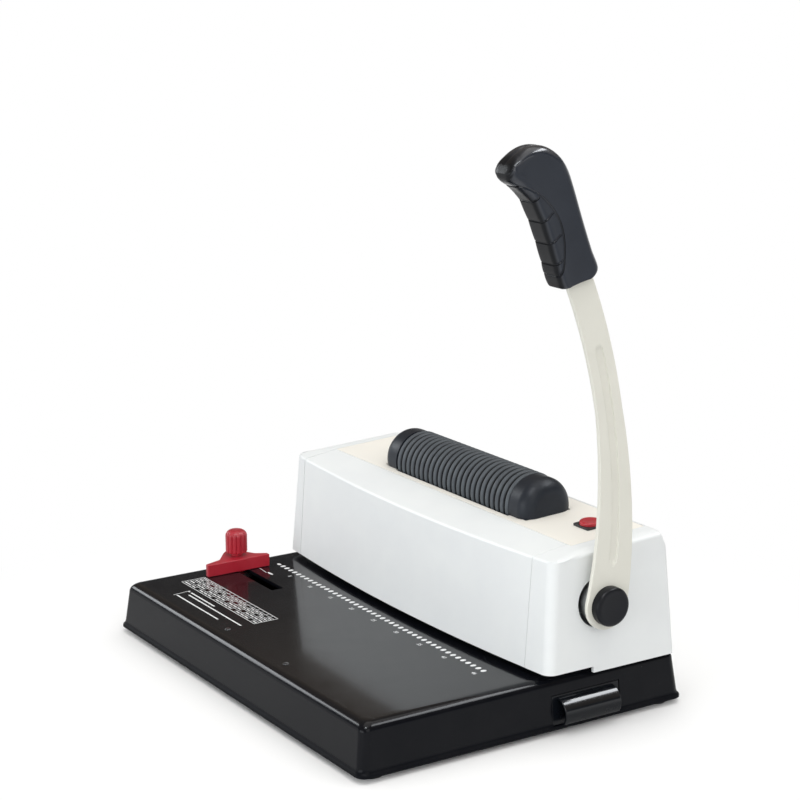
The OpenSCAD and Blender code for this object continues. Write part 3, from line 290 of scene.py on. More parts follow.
def prism(name, outline, axis, low, high):
    put = {"x": lambda p, h: (h, p[0], p[1]), "y": lambda p, h: (p[0], h, p[1]),
           "z": lambda p, h: (p[0], p[1], h)}[axis]
    return loft(name, [[put(p, h) for p in outline] for h in (low, high)])


def block(name, low, high):
    outline = [(low[0], low[1]), (high[0], low[1]), (high[0], high[1]), (low[0], high[1])]
    return prism(name, outline, "z", low[2], high[2])


def turned(name, profile, centre, along="z", sides=72, hollow=False):
    # a profile of (radius, distance along the axis), turned round an axis through the centre
    put = {"x": lambda r, a, h: (h, r * cos(a), r * sin(a)), "y": lambda r, a, h: (r * sin(a), h, r * cos(a)),
           "z": lambda r, a, h: (r * cos(a), r * sin(a), h)}[along]
    shape = bmesh.new()
    rows = []
    for r, h in profile:
        count = 1 if r < 1e-6 else sides        # one point where the profile meets the axis
        rows.append([shape.verts.new(Vector(put(r, 2 * pi * i / sides, h)) + Vector(centre))
                     for i in range(count)])
    for low, high in list(zip(rows, rows[1:])) + ([(rows[-1], rows[0])] if hollow else []):
        for i in range(sides):
            j = (i + 1) % sides
            corners = [low[i % len(low)], low[j % len(low)], high[j % len(high)], high[i % len(high)]]
            corners = [c for k, c in enumerate(corners) if c not in corners[:k]]
            if len(corners) > 2:
                shape.faces.new(corners)
    return asPiece(name, shape)


def rod(name, radius, low, high, centre, along="z", sides=24):
    return turned(name, [(0, low), (radius, low), (radius, high), (0, high)], centre, along, sides)


def settle(obj):
    # the mesh as its modifiers leave it
    shown = obj.evaluated_get(bpy.context.evaluated_depsgraph_get())
    mesh = bpy.data.meshes.new_from_object(shown)
    old = obj.data
    obj.modifiers.clear()
    obj.data = mesh
    bpy.data.meshes.remove(old)
    return obj


def drop(*objs):
    for obj in objs:
        bpy.data.objects.remove(obj)


def splitLarge(shape):
    # many-sided faces become triangles, so that cuts across them stay clean
    bmesh.ops.triangulate(shape, faces=[f for f in shape.faces if len(f.verts) > 4])


def combine(obj, others, operation="DIFFERENCE"):
    for other in others:
        for one in (obj, other):
            shape = bmesh.new()
            shape.from_mesh(one.data)
            splitLarge(shape)
            shape.to_mesh(one.data)
            shape.free()
        tool = obj.modifiers.new("combine", "BOOLEAN")
        tool.solver = "MANIFOLD"
        tool.operation = operation
        tool.object = other
        settle(obj)
    drop(*others)
    return obj


def twin(obj, name):
    copy = obj.copy()
    copy.data = obj.data.copy()
    copy.name = name
    scene.collection.objects.link(copy)
    return copy


def soften(obj, width, angle=40, steps=2, weighted=False):
    # rounds edges: those sharper than an angle, or those that carry a bevel weight
    tool = obj.modifiers.new("soften", "BEVEL")
    tool.width = width
    tool.segments = steps
    tool.limit_method = "WEIGHT" if weighted else "ANGLE"
    tool.angle_limit = radians(angle)
    tool.use_clamp_overlap = not weighted
    tool.harden_normals = False
    return settle(obj)


def smoothShade(obj, angle):
    # smooth everywhere but over edges sharper than an angle
    shape = bmesh.new()
    shape.from_mesh(obj.data)
    for face in shape.faces:
        face.smooth = True
    for edge in shape.edges:
        edge.smooth = len(edge.link_faces) == 2 and edge.calc_face_angle(0) < radians(angle)
    shape.to_mesh(obj.data)
    shape.free()
    tool = obj.modifiers.new("even", "WEIGHTED_NORMAL")
    tool.keep_sharp = True
    return settle(obj)


def place(obj, finish, body, slot, *nodes):
    obj.data.transform(Matrix.Scale(mm, 4))
    obj.data.materials.clear()
    obj.data.materials.append(finish.material)
    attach(obj, body)
    if nodes:
        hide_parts(*nodes)


def arc(centre, radius, start, end, steps):
    # points of an arc in a plane, angles in degrees, both ends included
    return [(centre[0] + radius * cos(radians(start + (end - start) * i / steps)),
             centre[1] + radius * sin(radians(start + (end - start) * i / steps))) for i in range(steps + 1)]


def roundedBox(low, high, radius, steps):
    # outline of a rectangle with round corners, from the one at the back right
    points = []
    for x, y, start in ((high[0] - radius, high[1] - radius, 0), (low[0] + radius, high[1] - radius, 90),
                        (low[0] + radius, low[1] + radius, 180), (high[0] - radius, low[1] + radius, 270)):
        points += arc((x, y), radius, start, start + 90, steps)
    return points


def smoothStep(t):
    t = min(1.0, max(0.0, t))
    return t * t * (3 - 2 * t)


def spline(points, steps):
    # smooth line through points of any size, steps pieces between neighbours
    line = []
    ends = [points[0]] + list(points) + [points[-1]]
    for a, b, c, d in zip(ends, ends[1:], ends[2:], ends[3:]):
        for i in range(steps):
            t = i / steps
            line.append(tuple(0.5 * (2 * q + (r - p) * t + (2 * p - 5 * q + 4 * r - s) * t * t
                                     + (3 * q - p - 3 * r + s) * t ** 3) for p, q, r, s in zip(a, b, c, d)))
    line.append(tuple(points[-1]))
    return line


def tube(name, path, radius, closed=False):
    # a round cutter along a line of points
    sides = 8
    count = len(path)
    rings = []
    side = None
    for i, spot in enumerate(path):
        before = path[i - 1] if i or closed else spot
        after = path[(i + 1) % count] if i < count - 1 or closed else spot
        ahead = (after - before).normalized()
        if side is None:
            side = ahead.orthogonal()
        side = (side - ahead * side.dot(ahead)).normalized()
        up = ahead.cross(side)
        rings.append([spot + radius * (side * cos(2 * pi * k / sides) + up * sin(2 * pi * k / sides))
                      for k in range(sides)])
    return loft(name, rings, closed)


# base shell; walls are (inset, height) from the foot up, and openings are blocks
base = {"left": -192.5, "right": 176.5, "front": -138.5, "back": 138.5, "corner": 8, "tighter": 0.25,
        "outer": [(0.35, 3.8), (0, 4.1), (0, 5.4), (0.1, 5.9), (0.4, 6.4), (0.85, 6.9), (1.3, 7.6),
                  (1.6, 8.6), (1.85, 10), (4.7, 32.8)],
        "inner": [(4.5, 3.0), (4.7, 8), (8, 33.5), (9.2, 36), (12.5, 37.5)],
        "deck": 40.5, "deckInset": 12.2, "edgeWide": 7.5, "edgeTall": 7.4,
        "slot": ((-181.5, -46.9), (-105.0, -36.3)), "slotRound": 0.9,
        "openings": {"frameCut": ((-175, 21.7, 36), (160, 112.3, 45)),
                     "trayCut": ((156.5, 21.0, 6.5), (180, 81.0, 28.3)),
                     "inletCut": ((102.5, 118.5, 9.2), (130.5, 145, 29.8))}}
rivets = {"places": ((-44.0, -119.0), (43.5, -119.0)), "hole": 1.6,
          "profile": [(0, 35.2), (2.3, 35.2), (2.3, 36.4), (1.45, 36.4), (1.45, 40.5), (2.3, 40.5),
                      (2.25, 40.75), (1.9, 41.1), (1.2, 41.34), (0, 41.4)]}


def baseRing(inset, z):
    # one level of the wall; the corners get tighter towards the deck
    corner = base["corner"] - base["tighter"] * inset
    low, high = (base["left"] + inset, base["front"] + inset), (base["right"] - inset, base["back"] - inset)
    return [(x, y, z) for x, y in roundedBox(low, high, corner, 14)]


def baseShell():
    # flared lip, leaning wall, rounded top edge and the deck
    inset, deck, wide, tall = (base[key] for key in ("deckInset", "deck", "edgeWide", "edgeTall"))
    turns = [radians(angle) for angle in range(8, 88, 8)]
    edge = [(inset - wide * cos(a), deck - tall + tall * sin(a)) for a in turns]
    outer = base["outer"] + edge + [(inset, deck)]
    shell = loft("baseShell", [baseRing(i, z) for i, z in outer])
    cuts = [loft("baseInside", [baseRing(i, z) for i, z in base["inner"]]),
            prism("slotCut", roundedBox(*base["slot"], base["slotRound"], 4), "z", 30, 50)]
    cuts += [block(name, *corners) for name, corners in base["openings"].items()]
    cuts += [rod("rivetCut", rivets["hole"], 30, 45, (x, y, 0)) for x, y in rivets["places"]]
    combine(shell, cuts)
    soften(shell, 0.45, 60)
    return smoothShade(shell, 30)


enamel = Finish("blackEnamel", shine=0.06, coatRough=0.10)
ripple = enamel.noise(2.6, 2)
sheet = enamel.noise(60, 2)
dust = enamel.noise(1.3, 1, 0.4)
haze = enamel.noise(24, 5, 0.62)
specks = enamel.ramp(dust, 0.80, 0.84) * enamel.ramp(haze, 0.45, 0.62)
upward = enamel.facing()[2]
lip = enamel.ramp(enamel.split()[2], 7.0 * mm, 9.5 * mm, 1, 0)        # the flared lip is dull from handling
hazy = enamel.blend(enamel.ramp(haze, 0.3, 0.7), paint(11, 13, 18), paint(17, 18, 22))
enamel.put(colour=enamel.blend(specks, hazy, paint(96, 96, 94)),
           rough=enamel.ramp(haze, 0.3, 0.7, 0.16, 0.24) + lip * 0.25,
           coat=(1 - lip) * enamel.ramp(upward, 0.6, 1.0, 0.12, 0.5),
           normal=enamel.bump(ripple, 0.012, 0.5, enamel.bump(sheet, 0.5, 0.35)))
place(baseShell(), enamel, "machine", "black_enamel", "base_cover")
print("base shell made")

# marks printed on the deck: a skin of paint, dots for the holes and a ruled chart
ink = {"bottom": 40.47, "top": 40.55, "raised": 0.03}
holes = {"first": -153.75, "pitch": 6.35, "count": 46, "row": -8.9, "oval": (1.8, 2.4),
         "flatOval": (2.4, 1.5), "numbers": ("5", "10", "15", "20", "25", "30", "35", "40", "46"),
         "numberRow": -18.6, "numberSize": 4.6, "pointer": (-159.6, -27.4, -147.0, -28.3),
         "pointerLine": 0.55, "pointerHead": (-143.0, -26.9, 4.0, 1.1)}
chart = {"x": (-163.5, -43.8), "rows": (-96.5, -91.8, -87.0, -83.0, -79.4, -76.0), "head": 13, "columns": 16,
         "line": 0.34, "frameLine": 1.5, "columnLine": 0.8, "dashTall": 0.24, "dashHalf": 0.26,
         "rules": ((-135.4, -68.5, -114.6), (-133.9, -96.3, -102.8), (-130.4, -45.6, -106.8),
                   (-139.5, -137.5, -102.8)),
         "ruleDashes": (5.4, 3.2, 7.6, 4.3, 6.1), "ruleGap": 1.2, "ruleTall": 1.3,
         "leader": (-137.9, -116.6, -139.9, -101.2), "leaderLine": 0.5}


def strip(x0, y0, x1, y1, width):
    # outline of a thin straight bar
    along = Vector((x1 - x0, y1 - y0)).normalized() * width / 2
    side = Vector((-along.y, along.x))
    a, b = Vector((x0, y0)) - along, Vector((x1, y1)) + along
    return [tuple(p) for p in (a - side, b - side, b + side, a + side)]


def oval(x, y, wide, tall):
    return [(x + wide * cos(2 * pi * k / 20), y + tall * sin(2 * pi * k / 20)) for k in range(20)]


def printed(name, outlines, texts=()):
    # every outline becomes a skin of paint on the deck
    shape = bmesh.new()
    for outline in outlines:
        skin(shape, [[(x, y, z) for x, y in outline] for z in (ink["bottom"], ink["top"])])
    for text, x, y in texts:
        figure = bpy.data.curves.new("figure", "FONT")
        figure.body = text
        figure.size = holes["numberSize"]
        figure.align_x = "CENTER"
        figure.extrude = ink["raised"]
        obj = newObject("figure", figure)
        mesh = bpy.data.meshes.new_from_object(obj.evaluated_get(bpy.context.evaluated_depsgraph_get()))
        mesh.transform(Matrix.Translation((x, y, ink["top"] - ink["raised"])))
        shape.from_mesh(mesh)
        drop(obj)
        bpy.data.meshes.remove(mesh)
    return asPiece(name, shape)


def holeRow():
    # a dot for every hole, a flat one before the first, a number at every fifth, and a pointer
    first, pitch = holes["first"], holes["pitch"]
    outlines = [oval(first + i * pitch, holes["row"], *holes["oval"]) for i in range(holes["count"])]
    outlines.append(oval(first - pitch, holes["row"], *holes["flatOval"]))
    outlines.append(strip(*holes["pointer"], holes["pointerLine"]))
    outlines.append(oval(*holes["pointerHead"]))
    return printed("holeRow", outlines,
                   [(n, first + (int(n) - 1) * pitch, holes["numberRow"]) for n in holes["numbers"]])


def ruledChart():
    # a ruled table with plain dashes in most of its cells, and rows of dashes in front of it
    (x0, x1), rows, line = chart["x"], chart["rows"], chart["line"]
    thick, thin = line * chart["frameLine"], line * chart["columnLine"]
    head = x0 + chart["head"]
    width = (x1 - head) / chart["columns"]
    ups = [x0, head] + [head + width * (i + 1) for i in range(chart["columns"])]
    outlines = [strip(x0, y, x1, y, thick if y in (rows[0], rows[-1]) else line) for y in rows]
    outlines += [strip(x, rows[0], x, rows[-1], thick if x in (x0, ups[-1]) else thin) for x in ups]
    for r, (low, high) in enumerate(zip(rows, rows[1:])):
        tall, y = (high - low) * chart["dashTall"], (low + high) / 2
        outlines.append(strip(x0 + 2.2, y, head - 2.4 - (r % 2) * 2.6, y, tall))
        for i in range(chart["columns"]):
            # a few cells of the first four rows stay empty, and the last row has three dashes
            if r < 4 and (i * 7 + r * 3) % 9 < 7 or r == 4 and i < 3:
                x, half = head + width * (i + 0.5), width * chart["dashHalf"]
                outlines.append(strip(x - half, y, x + half, y, tall))
    for x, end, y in chart["rules"]:
        n = 0
        while x < end - 1:
            long = chart["ruleDashes"][n % len(chart["ruleDashes"])]
            outlines.append(strip(x, y, min(x + long - chart["ruleGap"], end), y, chart["ruleTall"]))
            x += long
            n += 1
    outlines.append(strip(*chart["leader"], chart["leaderLine"]))
    return printed("ruledChart", outlines)


inkWhite = Finish("inkWhite", shine=0.3)
worn = inkWhite.noise(1.6, 4, 0.7)
rubbed = inkWhite.ramp(worn, 0.42, 0.72)
inkWhite.put(colour=inkWhite.blend(rubbed, paint(240, 242, 242), paint(206, 208, 210)),
             rough=inkWhite.ramp(worn, 0, 1, 0.45, 0.6),
             normal=inkWhite.bump(inkWhite.noise(0.4, 2), 0.01, 0.5))
place(holeRow(), inkWhite, "machine", "white_cover")
place(ruledChart(), inkWhite, "machine", "white_cover")
print("deck marks made")

# feet, tapered, with a soft lower edge and a sunk seat for the screw
feet = {"places": ((-176.5, -122.5), (-176.5, 122.5), (160.5, -122.5), (160.5, 122.5)),
        "profile": [(4.2, 2.2), (4.2, 0.5), (4.7, 0.0), (9.5, 0.0), (10.1, 0.2), (10.5, 0.7), (11.65, 3.6),
                    (12.0, 3.8), (12.0, 4.5), (1.85, 4.5), (1.85, 2.2)]}
# the chip tray's pull: a half barrel and the flange that closes the base's window
pull = {"x": 172.0, "y": (26.0, 75.0), "z": 15.0, "radius": 11.5, "wall": 1.8, "low": 8.5,
        "flangeY": (21.4, 80.5), "flangeSide": [(171.5, 6.8), (174.6, 6.8), (172.15, 27.7), (171.5, 27.7)]}


def turnedSet(name, kind, sides, hollow=False):
    # the same turned piece at each of its places
    shape = bmesh.new()
    for x, y in kind["places"]:
        one = turned("one", kind["profile"], (x, y, 0), sides=sides, hollow=hollow)
        shape.from_mesh(one.data)
        drop(one)
    return smoothShade(asPiece(name, shape), 40)


def trayPull():
    # hollow, to hook the fingers behind
    x, z, r, wall = pull["x"], pull["z"], pull["radius"], pull["wall"]
    outerEnd, innerEnd = (-asin((z - pull["low"]) / radius) * 180 / pi for radius in (r, r - wall))
    outline = arc((x, z), r, 90, outerEnd, 22) + arc((x, z), r - wall, innerEnd, 90, 20)
    barrel = soften(prism("trayPull", outline, "y", *pull["y"]), 0.55, 50, 3)
    flange = soften(prism("flange", pull["flangeSide"], "y", *pull["flangeY"]), 0.25, 50)
    return smoothShade(combine(barrel, [flange], "UNION"), 34)


pullBlack = sprayed("pullBlack", paint(12, 15, 20), paint(17, 20, 25), 0.30, 0.8, shine=0.08)
# the barrel's top is shiny from handling
pullBlack.put(coat=pullBlack.ramp(pullBlack.facing()[2], 0.1, 0.35, 0.25, 1.0), coatRough=0.12)
rivetBlack = sprayed("rivetBlack", paint(40, 41, 44), paint(60, 61, 63), 0.16, 0.6, 0.01)
footBlack = sprayed("footBlack", paint(16, 16, 18), paint(24, 24, 25), 0.7, 0.5, 0.05, shine=0.3)
place(turnedSet("deckRivets", rivets, 32), rivetBlack, "machine", "bright_steel", "deck_rivets")
place(turnedSet("rubberFeet", feet, 56, hollow=True), footBlack, "machine", "foot_rubber", "rubber_feet")
place(trayPull(), pullBlack, "tray", "plate_black", "tray_pull")
print("rivets, feet and tray pull made")

# housing: five covers cut from one bowed block; leans and slopes are tangents
house = {"left": -183.5, "right": 177.5, "front": 14.5, "back": 127.5, "deck": 40.5, "height": 84.5,
         "bow": 9.6, "throat": 45.0, "throatEnd": 54.0, "wall": 2.5, "corner": 8, "round": 3.4,
         "sideLean": (4.6 / 84.5, 4.2 / 84.5), "frontLean": tan(radians(4.1)), "rearLean": tan(radians(4)),
         "rearDrop": 3, "rearRim": 3, "noseSlope": tan(radians(7.6)), "noseLength": 60,
         # the top's border at each end: height of its outer edge in front and behind, width and rise
         "borders": ((125.8, 131.0, 16.0, 3.4), (125.6, 131.4, 8.0, 3.4)),
         "seams": (-162.0, 152.0), "gap": 0.45, "panelX": (-162.0, 156.5), "panelY": (48.5, 113.5),
         "panelZ": 129.7, "tilt": 3, "pivot": (59.7, 91.6), "hubHole": 18.5,
         "rearScrewX": (-130.875, -10.875, 109.125), "rearScrewZ": 100.99, "rearScrewHole": 1.7}
# a box that reaches past the housing on every side
beyond = {"left": -200, "right": 200, "front": -40, "back": 150, "below": 30, "above": 170}
ridge = house["deck"] + house["height"]
above = ridge + 40        # higher than any cut
middle = (house["left"] + house["right"]) / 2
bowRadius = ((house["right"] - house["left"]) ** 2 / 4 + house["bow"] ** 2) / (2 * house["bow"])


def panelHeight(y):
    return house["panelZ"] + (y - house["panelY"][0]) * tan(radians(house["tilt"]))


def onPanel(obj, x, y):
    # moves a piece made round the origin to a place on the tilted panel
    tilt = Matrix.Rotation(radians(house["tilt"]), 4, "X")
    obj.data.transform(Matrix.Translation((x, y, panelHeight(y))) @ tilt)
    return obj


def houseOutline(z, wall):
    # plan of the housing at a height, from the left side round the bowed front to the right side
    radius = bowRadius - wall - (z - house["throat"]) * house["frontLean"]
    centreY = house["front"] - house["bow"] + bowRadius
    up, far = z - house["deck"], house["back"] + 20
    leftLean, rightLean = house["sideLean"]
    sides = (house["left"] + wall + up * leftLean, house["right"] - wall - up * rightLean)
    corner = house["corner"] - wall
    centres = []
    for x, way in zip(sides, (1, -1)):
        cx = x + way * corner
        centres.append((cx, centreY - sqrt((radius - corner) ** 2 - (cx - middle) ** 2)))
    turns = [-90 + atan2(cx - middle, centreY - cy) * 180 / pi for cx, cy in centres]
    points = [(sides[0], far)]
    points += arc(centres[0], corner, -180, turns[0], 8)
    points += arc((middle, centreY), radius, turns[0], turns[1], 30)[1:-1]
    points += arc(centres[1], corner, turns[1], 0, 8)
    points.append((sides[1], far))
    return [(x, y, z) for x, y in points]


def markRounded(shape, low):
    # bevel weights: full on upright corners and slight bends, half on sharp top edges, none round the foot
    marks = shape.edges.layers.float.new("bevel_weight_edge")
    for edge in shape.edges:
        bend = edge.calc_face_angle(0) * 180 / pi
        upright = abs((edge.verts[1].co - edge.verts[0].co).normalized().z) > 0.9
        atFoot = min(v.co.z for v in edge.verts) <= low + 0.01
        if upright and bend > 40:
            edge[marks] = 1.0
        elif not upright and not atFoot and bend > 4:
            edge[marks] = 0.5 if bend > 40 else 1.0


def housingBlock(wall, low):
    # bowed block, then cut down by the planes of its back, top and borders
    shape = bmesh.new()
    skin(shape, [houseOutline(z, wall) for z in (low, above)])
    front, rear = house["panelY"]
    rim, nose = rear + house["rearRim"], house["noseLength"]
    back, rise = house["back"] - wall, house["height"] - house["rearDrop"]
    side = [(back, house["deck"]), (back - rise * house["rearLean"], ridge - house["rearDrop"]),
            (rim, panelHeight(rim) - wall), (front, house["panelZ"] - wall),
            (front - nose, house["panelZ"] - wall - nose * house["noseSlope"])]
    cuts = [((0, a[0], a[1]), (0, b[1] - a[1], a[0] - b[0])) for a, b in zip(side, side[1:])]
    sides = zip((house["left"], house["right"]), (-1, 1), house["sideLean"], house["borders"])
    for x, way, lean, (frontZ, rearZ, wide, rise) in sides:
        along = Vector((0, house["back"] - house["front"], rearZ - frontZ))
        cuts.append(((x - way * (wall + house["height"] * lean), house["front"], frontZ - wall),
                     Vector((-way * wide, 0, rise)).cross(along) * -way))
    for spot, normal in cuts:
        bmesh.ops.bisect_plane(shape, geom=shape.verts[:] + shape.edges[:] + shape.faces[:], dist=1e-4,
                               plane_co=spot, plane_no=normal, clear_outer=True)
        bmesh.ops.edgeloop_fill(shape, edges=[e for e in shape.edges if e.is_boundary])
    splitLarge(shape)
    if not wall:
        markRounded(shape, low)
    return asPiece("housingBlock", shape)


def housingShell():
    shell = soften(housingBlock(0, house["deck"]), house["round"], steps=5, weighted=True)
    combine(shell, [housingBlock(house["wall"], house["deck"] - 1)])
    throat = block("throatCut", (beyond["left"], beyond["front"], beyond["below"]),
                   (beyond["right"], house["throatEnd"], house["throat"]))
    return combine(shell, [throat])


def coverFrom(shell, name, cuts=(), **ends):
    # what the shell has inside a box, which reaches beyond the housing where no end is given
    box = {**beyond, **ends}
    piece = twin(shell, name)
    combine(piece, [block("keep", (box["left"], box["front"], box["below"]),
                          (box["right"], box["back"], box["above"]))], "INTERSECT")
    combine(piece, list(cuts))
    soften(piece, 0.35, 50)
    return smoothShade(piece, 32)


# roller of rubber rings on the panel, with a hood over each end
roller = {"x": (-80.0, 72.5), "y": 76.9, "z": 135.49, "radius": 23.3, "bore": 18.9, "rings": 24,
          "valley": 2.1,
          # one ring: the way along it, as a part of the pitch, and the height against its crest
          "ring": [(0.0, -2.1), (0.24, -2.1), (0.28, -1.7), (0.31, -0.9), (0.36, -0.38), (0.45, -0.08),
                   (0.56, 0.0), (0.68, 0.0), (0.79, -0.08), (0.88, -0.38), (0.93, -0.9), (0.97, -1.7)],
          "slotGap": 0.6, "slotHalf": 23.7}
hood = {"x": (-101.0, 93.5), "gap": 0.3, "radius": 22.7, "wall": 2.0, "round": 11.0, "slotHalf": 20.5}
# start button in a square bezel, and the depths of both below the panel
button = {"x": 130.5, "y": 85.2, "hole": 8.7, "bezel": 18.0, "bezelRound": 1.6, "rise": 1.5, "barrel": 8.6,
          "barrelEnd": -11, "bore": 7.9, "cap": 15.5, "capRise": 2.6, "capEnd": -3.5, "capRound": 1.1,
          "stem": 2.4, "stemEnd": -11.5}

coverWhite = sprayed("coverWhite", paint(229, 232, 233), paint(233, 236, 236), 0.46, 0.6, 0.018)
panelWhite = sprayed("panelWhite", paint(245, 241, 232), paint(241, 238, 230), 0.40, 0.6, 0.018)
shell = housingShell()
seamLeft, seamRight = house["seams"]
panelLeft, panelRight = house["panelX"]
panelFront, panelBack = house["panelY"]
gap = house["gap"]


def roomForPanel(left, front, below):
    # the opening that the top panel fills, with a hairline gap round it
    return block("panelRoom", (left, front, below), (panelRight + gap, panelBack + gap, above))


def panelSlot(ends, longer, half):
    start, end = ends
    return block("panelSlot", (start - longer, roller["y"] - half, 110),
                 (end + longer, roller["y"] + half, beyond["above"]))


hubHole = rod("hubHole", house["hubHole"], 140, 200, (0, *house["pivot"]), "x", 96)
screwHoles = [rod("screwHole", house["rearScrewHole"], 100, 140, (x, 0, house["rearScrewZ"]), "y")
              for x in house["rearScrewX"]]
sleeveSlot = panelSlot(roller["x"], roller["slotGap"], roller["slotHalf"])
hoodSlot = panelSlot(hood["x"], -hood["wall"], hood["slotHalf"])
buttonHole = onPanel(rod("buttonHole", button["hole"], -15, 15, (0, 0, 0), sides=48),
                     button["x"], button["y"])
place(coverFrom(shell, "leftEnd", right=seamLeft - gap),
      coverWhite, "machine", "white_cover", "left_end_cover")
place(coverFrom(shell, "rightEnd", [hubHole, roomForPanel(seamRight - 1, panelFront - gap, ridge - 2)],
                left=seamRight + gap),
      coverWhite, "machine", "white_cover", "right_end_cover")
place(coverFrom(shell, "frontCover", left=seamLeft, right=seamRight, back=panelFront - gap),
      coverWhite, "machine", "white_cover", "front_cover")
rearRoom = roomForPanel(seamLeft - 1, house["front"] - 0.5, ridge - 9)
place(coverFrom(shell, "rearCover", [rearRoom, *screwHoles],
                left=seamLeft, right=seamRight, front=house["throatEnd"] + 10),
      coverWhite, "machine", "white_cover", "rear_cover")
place(coverFrom(shell, "topPanel", [sleeveSlot, hoodSlot, buttonHole], left=panelLeft, right=panelRight,
                front=panelFront, back=panelBack, below=ridge - 4),
      panelWhite, "machine", "cream_enamel", "top_panel")
drop(shell)
print("housing covers made")


def ribbedSleeve():
    start, end = roller["x"]
    pitch, r = (end - start) / roller["rings"], roller["radius"]
    profile = [(roller["bore"], start)]
    for i in range(roller["rings"]):
        profile += [(r + dip, start + (i + t) * pitch) for t, dip in roller["ring"]]
    profile += [(r - roller["valley"], end), (roller["bore"], end)]
    sleeve = turned("rollerSleeve", profile, (0, roller["y"], roller["z"]), "x", 96, hollow=True)
    return smoothShade(sleeve, 50)


def endHood(name, start, end):
    # dome over one end of the roller, cut off where it meets the panel
    r, wall, soft = hood["radius"], hood["wall"], hood["round"]
    length, way = abs(end - start), 1 if end > start else -1
    outer = [(r, 0.0)] + arc((r - soft, length - soft), soft, 0, 90, 12) + [(0, length)]
    inner = [(0, length - wall)] + arc((r - soft, length - soft), soft - wall, 90, 0, 10) + [(r - wall, 0.0)]
    profile = [(radius, start + way * h) for radius, h in outer + inner]
    dome = turned(name, profile, (0, roller["y"], roller["z"]), "x", 96, hollow=True)
    combine(dome, [onPanel(block("under", (-60, -60, -100), (60, 60, 0)), start, roller["y"])])
    soften(dome, 0.3, 55)
    return smoothShade(dome, 35)


rubber = Finish("rollerRubber")
y, z = rubber.split()[1:]
away = ((y - roller["y"] * mm) ** 2 + (z - roller["z"] * mm) ** 2) ** 0.5
# painted shade: below the crests of the rings the rubber is coloured near black, for the shade in the valleys
# between them
crest = rubber.ramp(away, (roller["radius"] - 1.7) * mm, (roller["radius"] - 0.2) * mm)
chalk = rubber.noise(9, 5, 0.7)
chalky = rubber.blend(rubber.ramp(chalk, 0.35, 0.7), paint(68, 73, 79), paint(82, 88, 93))
rubber.put(shine=0.3, colour=rubber.blend(crest, paint(8, 9, 11), chalky),
           rough=rubber.ramp(chalk, 0.3, 0.7, 0.46, 0.62),
           normal=rubber.bump(rubber.noise(0.5, 2), 0.02, 0.6))
place(ribbedSleeve(), rubber, "roller", "roller_rubber", "roller_sleeve")
hoodSlate = sprayed("hoodSlate", paint(25, 30, 38), paint(32, 37, 45), 0.42, 0.5, 0.03, shine=0.26)
place(endHood("leftHood", roller["x"][0] - hood["gap"], hood["x"][0]), hoodSlate,
      "machine", "slate_plastic", "roller_hood_left")
place(endHood("rightHood", roller["x"][1] + hood["gap"], hood["x"][1]), hoodSlate,
      "machine", "slate_plastic", "roller_hood_right")
print("roller and hoods made")


def bezelRing():
    half = button["bezel"] / 2
    outline = roundedBox((-half, -half), (half, half), button["bezelRound"], 5)
    ring = prism("buttonBezel", outline, "z", 0.0, button["rise"])
    combine(ring, [rod("barrel", button["barrel"], button["barrelEnd"], 0.4, (0, 0, 0), sides=64)], "UNION")
    combine(ring, [rod("bore", button["bore"], button["barrelEnd"] + 1.5, 5, (0, 0, 0), sides=64)])
    soften(ring, 0.35, 50, 3)
    return smoothShade(onPanel(ring, button["x"], button["y"]), 35)


def buttonTop():
    # round cap with a soft rim and a slightly sunk face, on its stem
    r, soft, stem = button["cap"] / 2, button["capRound"], button["stem"]
    top, low, lowest = button["rise"] + button["capRise"], button["capEnd"], button["stemEnd"]
    profile = [(0, lowest), (stem, lowest), (stem, low), (r, low), (r, top - soft)]
    profile += arc((r - soft, top - soft), soft, 18, 90, 4)
    profile += [(r - 2.4, top - 0.05), (r - 4.2, top - 0.2), (0, top - 0.35)]
    return smoothShade(onPanel(turned("buttonTop", profile, (0, 0, 0)), button["x"], button["y"]), 40)


bezelBlack = sprayed("bezelBlack", paint(36, 37, 41), paint(43, 44, 47), 0.42, 0.4, shine=0.35)
buttonRed = sprayed("buttonRed", paint(188, 44, 56), paint(176, 40, 50), 0.30, 0.5, 0.01)
place(bezelRing(), bezelBlack, "machine", "black_plastic", "button_bezel")
place(buttonTop(), buttonRed, "start_button", "button_red", "button_cap")
print("start button made")

# lever: a pressed bar on a curve that turns in at the pivot, with a groove between two heights above it
lever = {"x": (181.6, 184.5), "knee": 62.0, "curve": 435.0, "back": 5.6, "half": 10.9, "end": 18.0,
         "taper": 140.0, "top": 275.0, "edge": 0.7, "endSteps": 14, "steps": 150, "across": 80,
         "groove": (33.0, 182.0), "grooveHalf": 3.1, "grooveWall": 0.5, "grooveDeep": 1.2,
         "scoreHalf": 0.45, "scoreDeep": 0.8}
cap = {"radius": 14.2, "height": 7.4, "round": 2.6, "bore": 7.7, "top": 1.6}
hub = {"bore": 8.1, "start": 158, "neck": 12.5, "radius": 15.0, "thick": 9.0, "round": 0.9}
leverStart = -asin(lever["knee"] / lever["curve"])
leverShift = lever["back"] - lever["curve"] * (1 - cos(leverStart))


def leverMiddle(a):
    # middle of the bar at an angle on its curve, as (y, z) from the pivot
    curve = lever["curve"]
    return Vector((curve * cos(a) - curve + lever["back"] - leverShift * max(0, a / leverStart) ** 2,
                   curve * sin(a) + lever["knee"]))


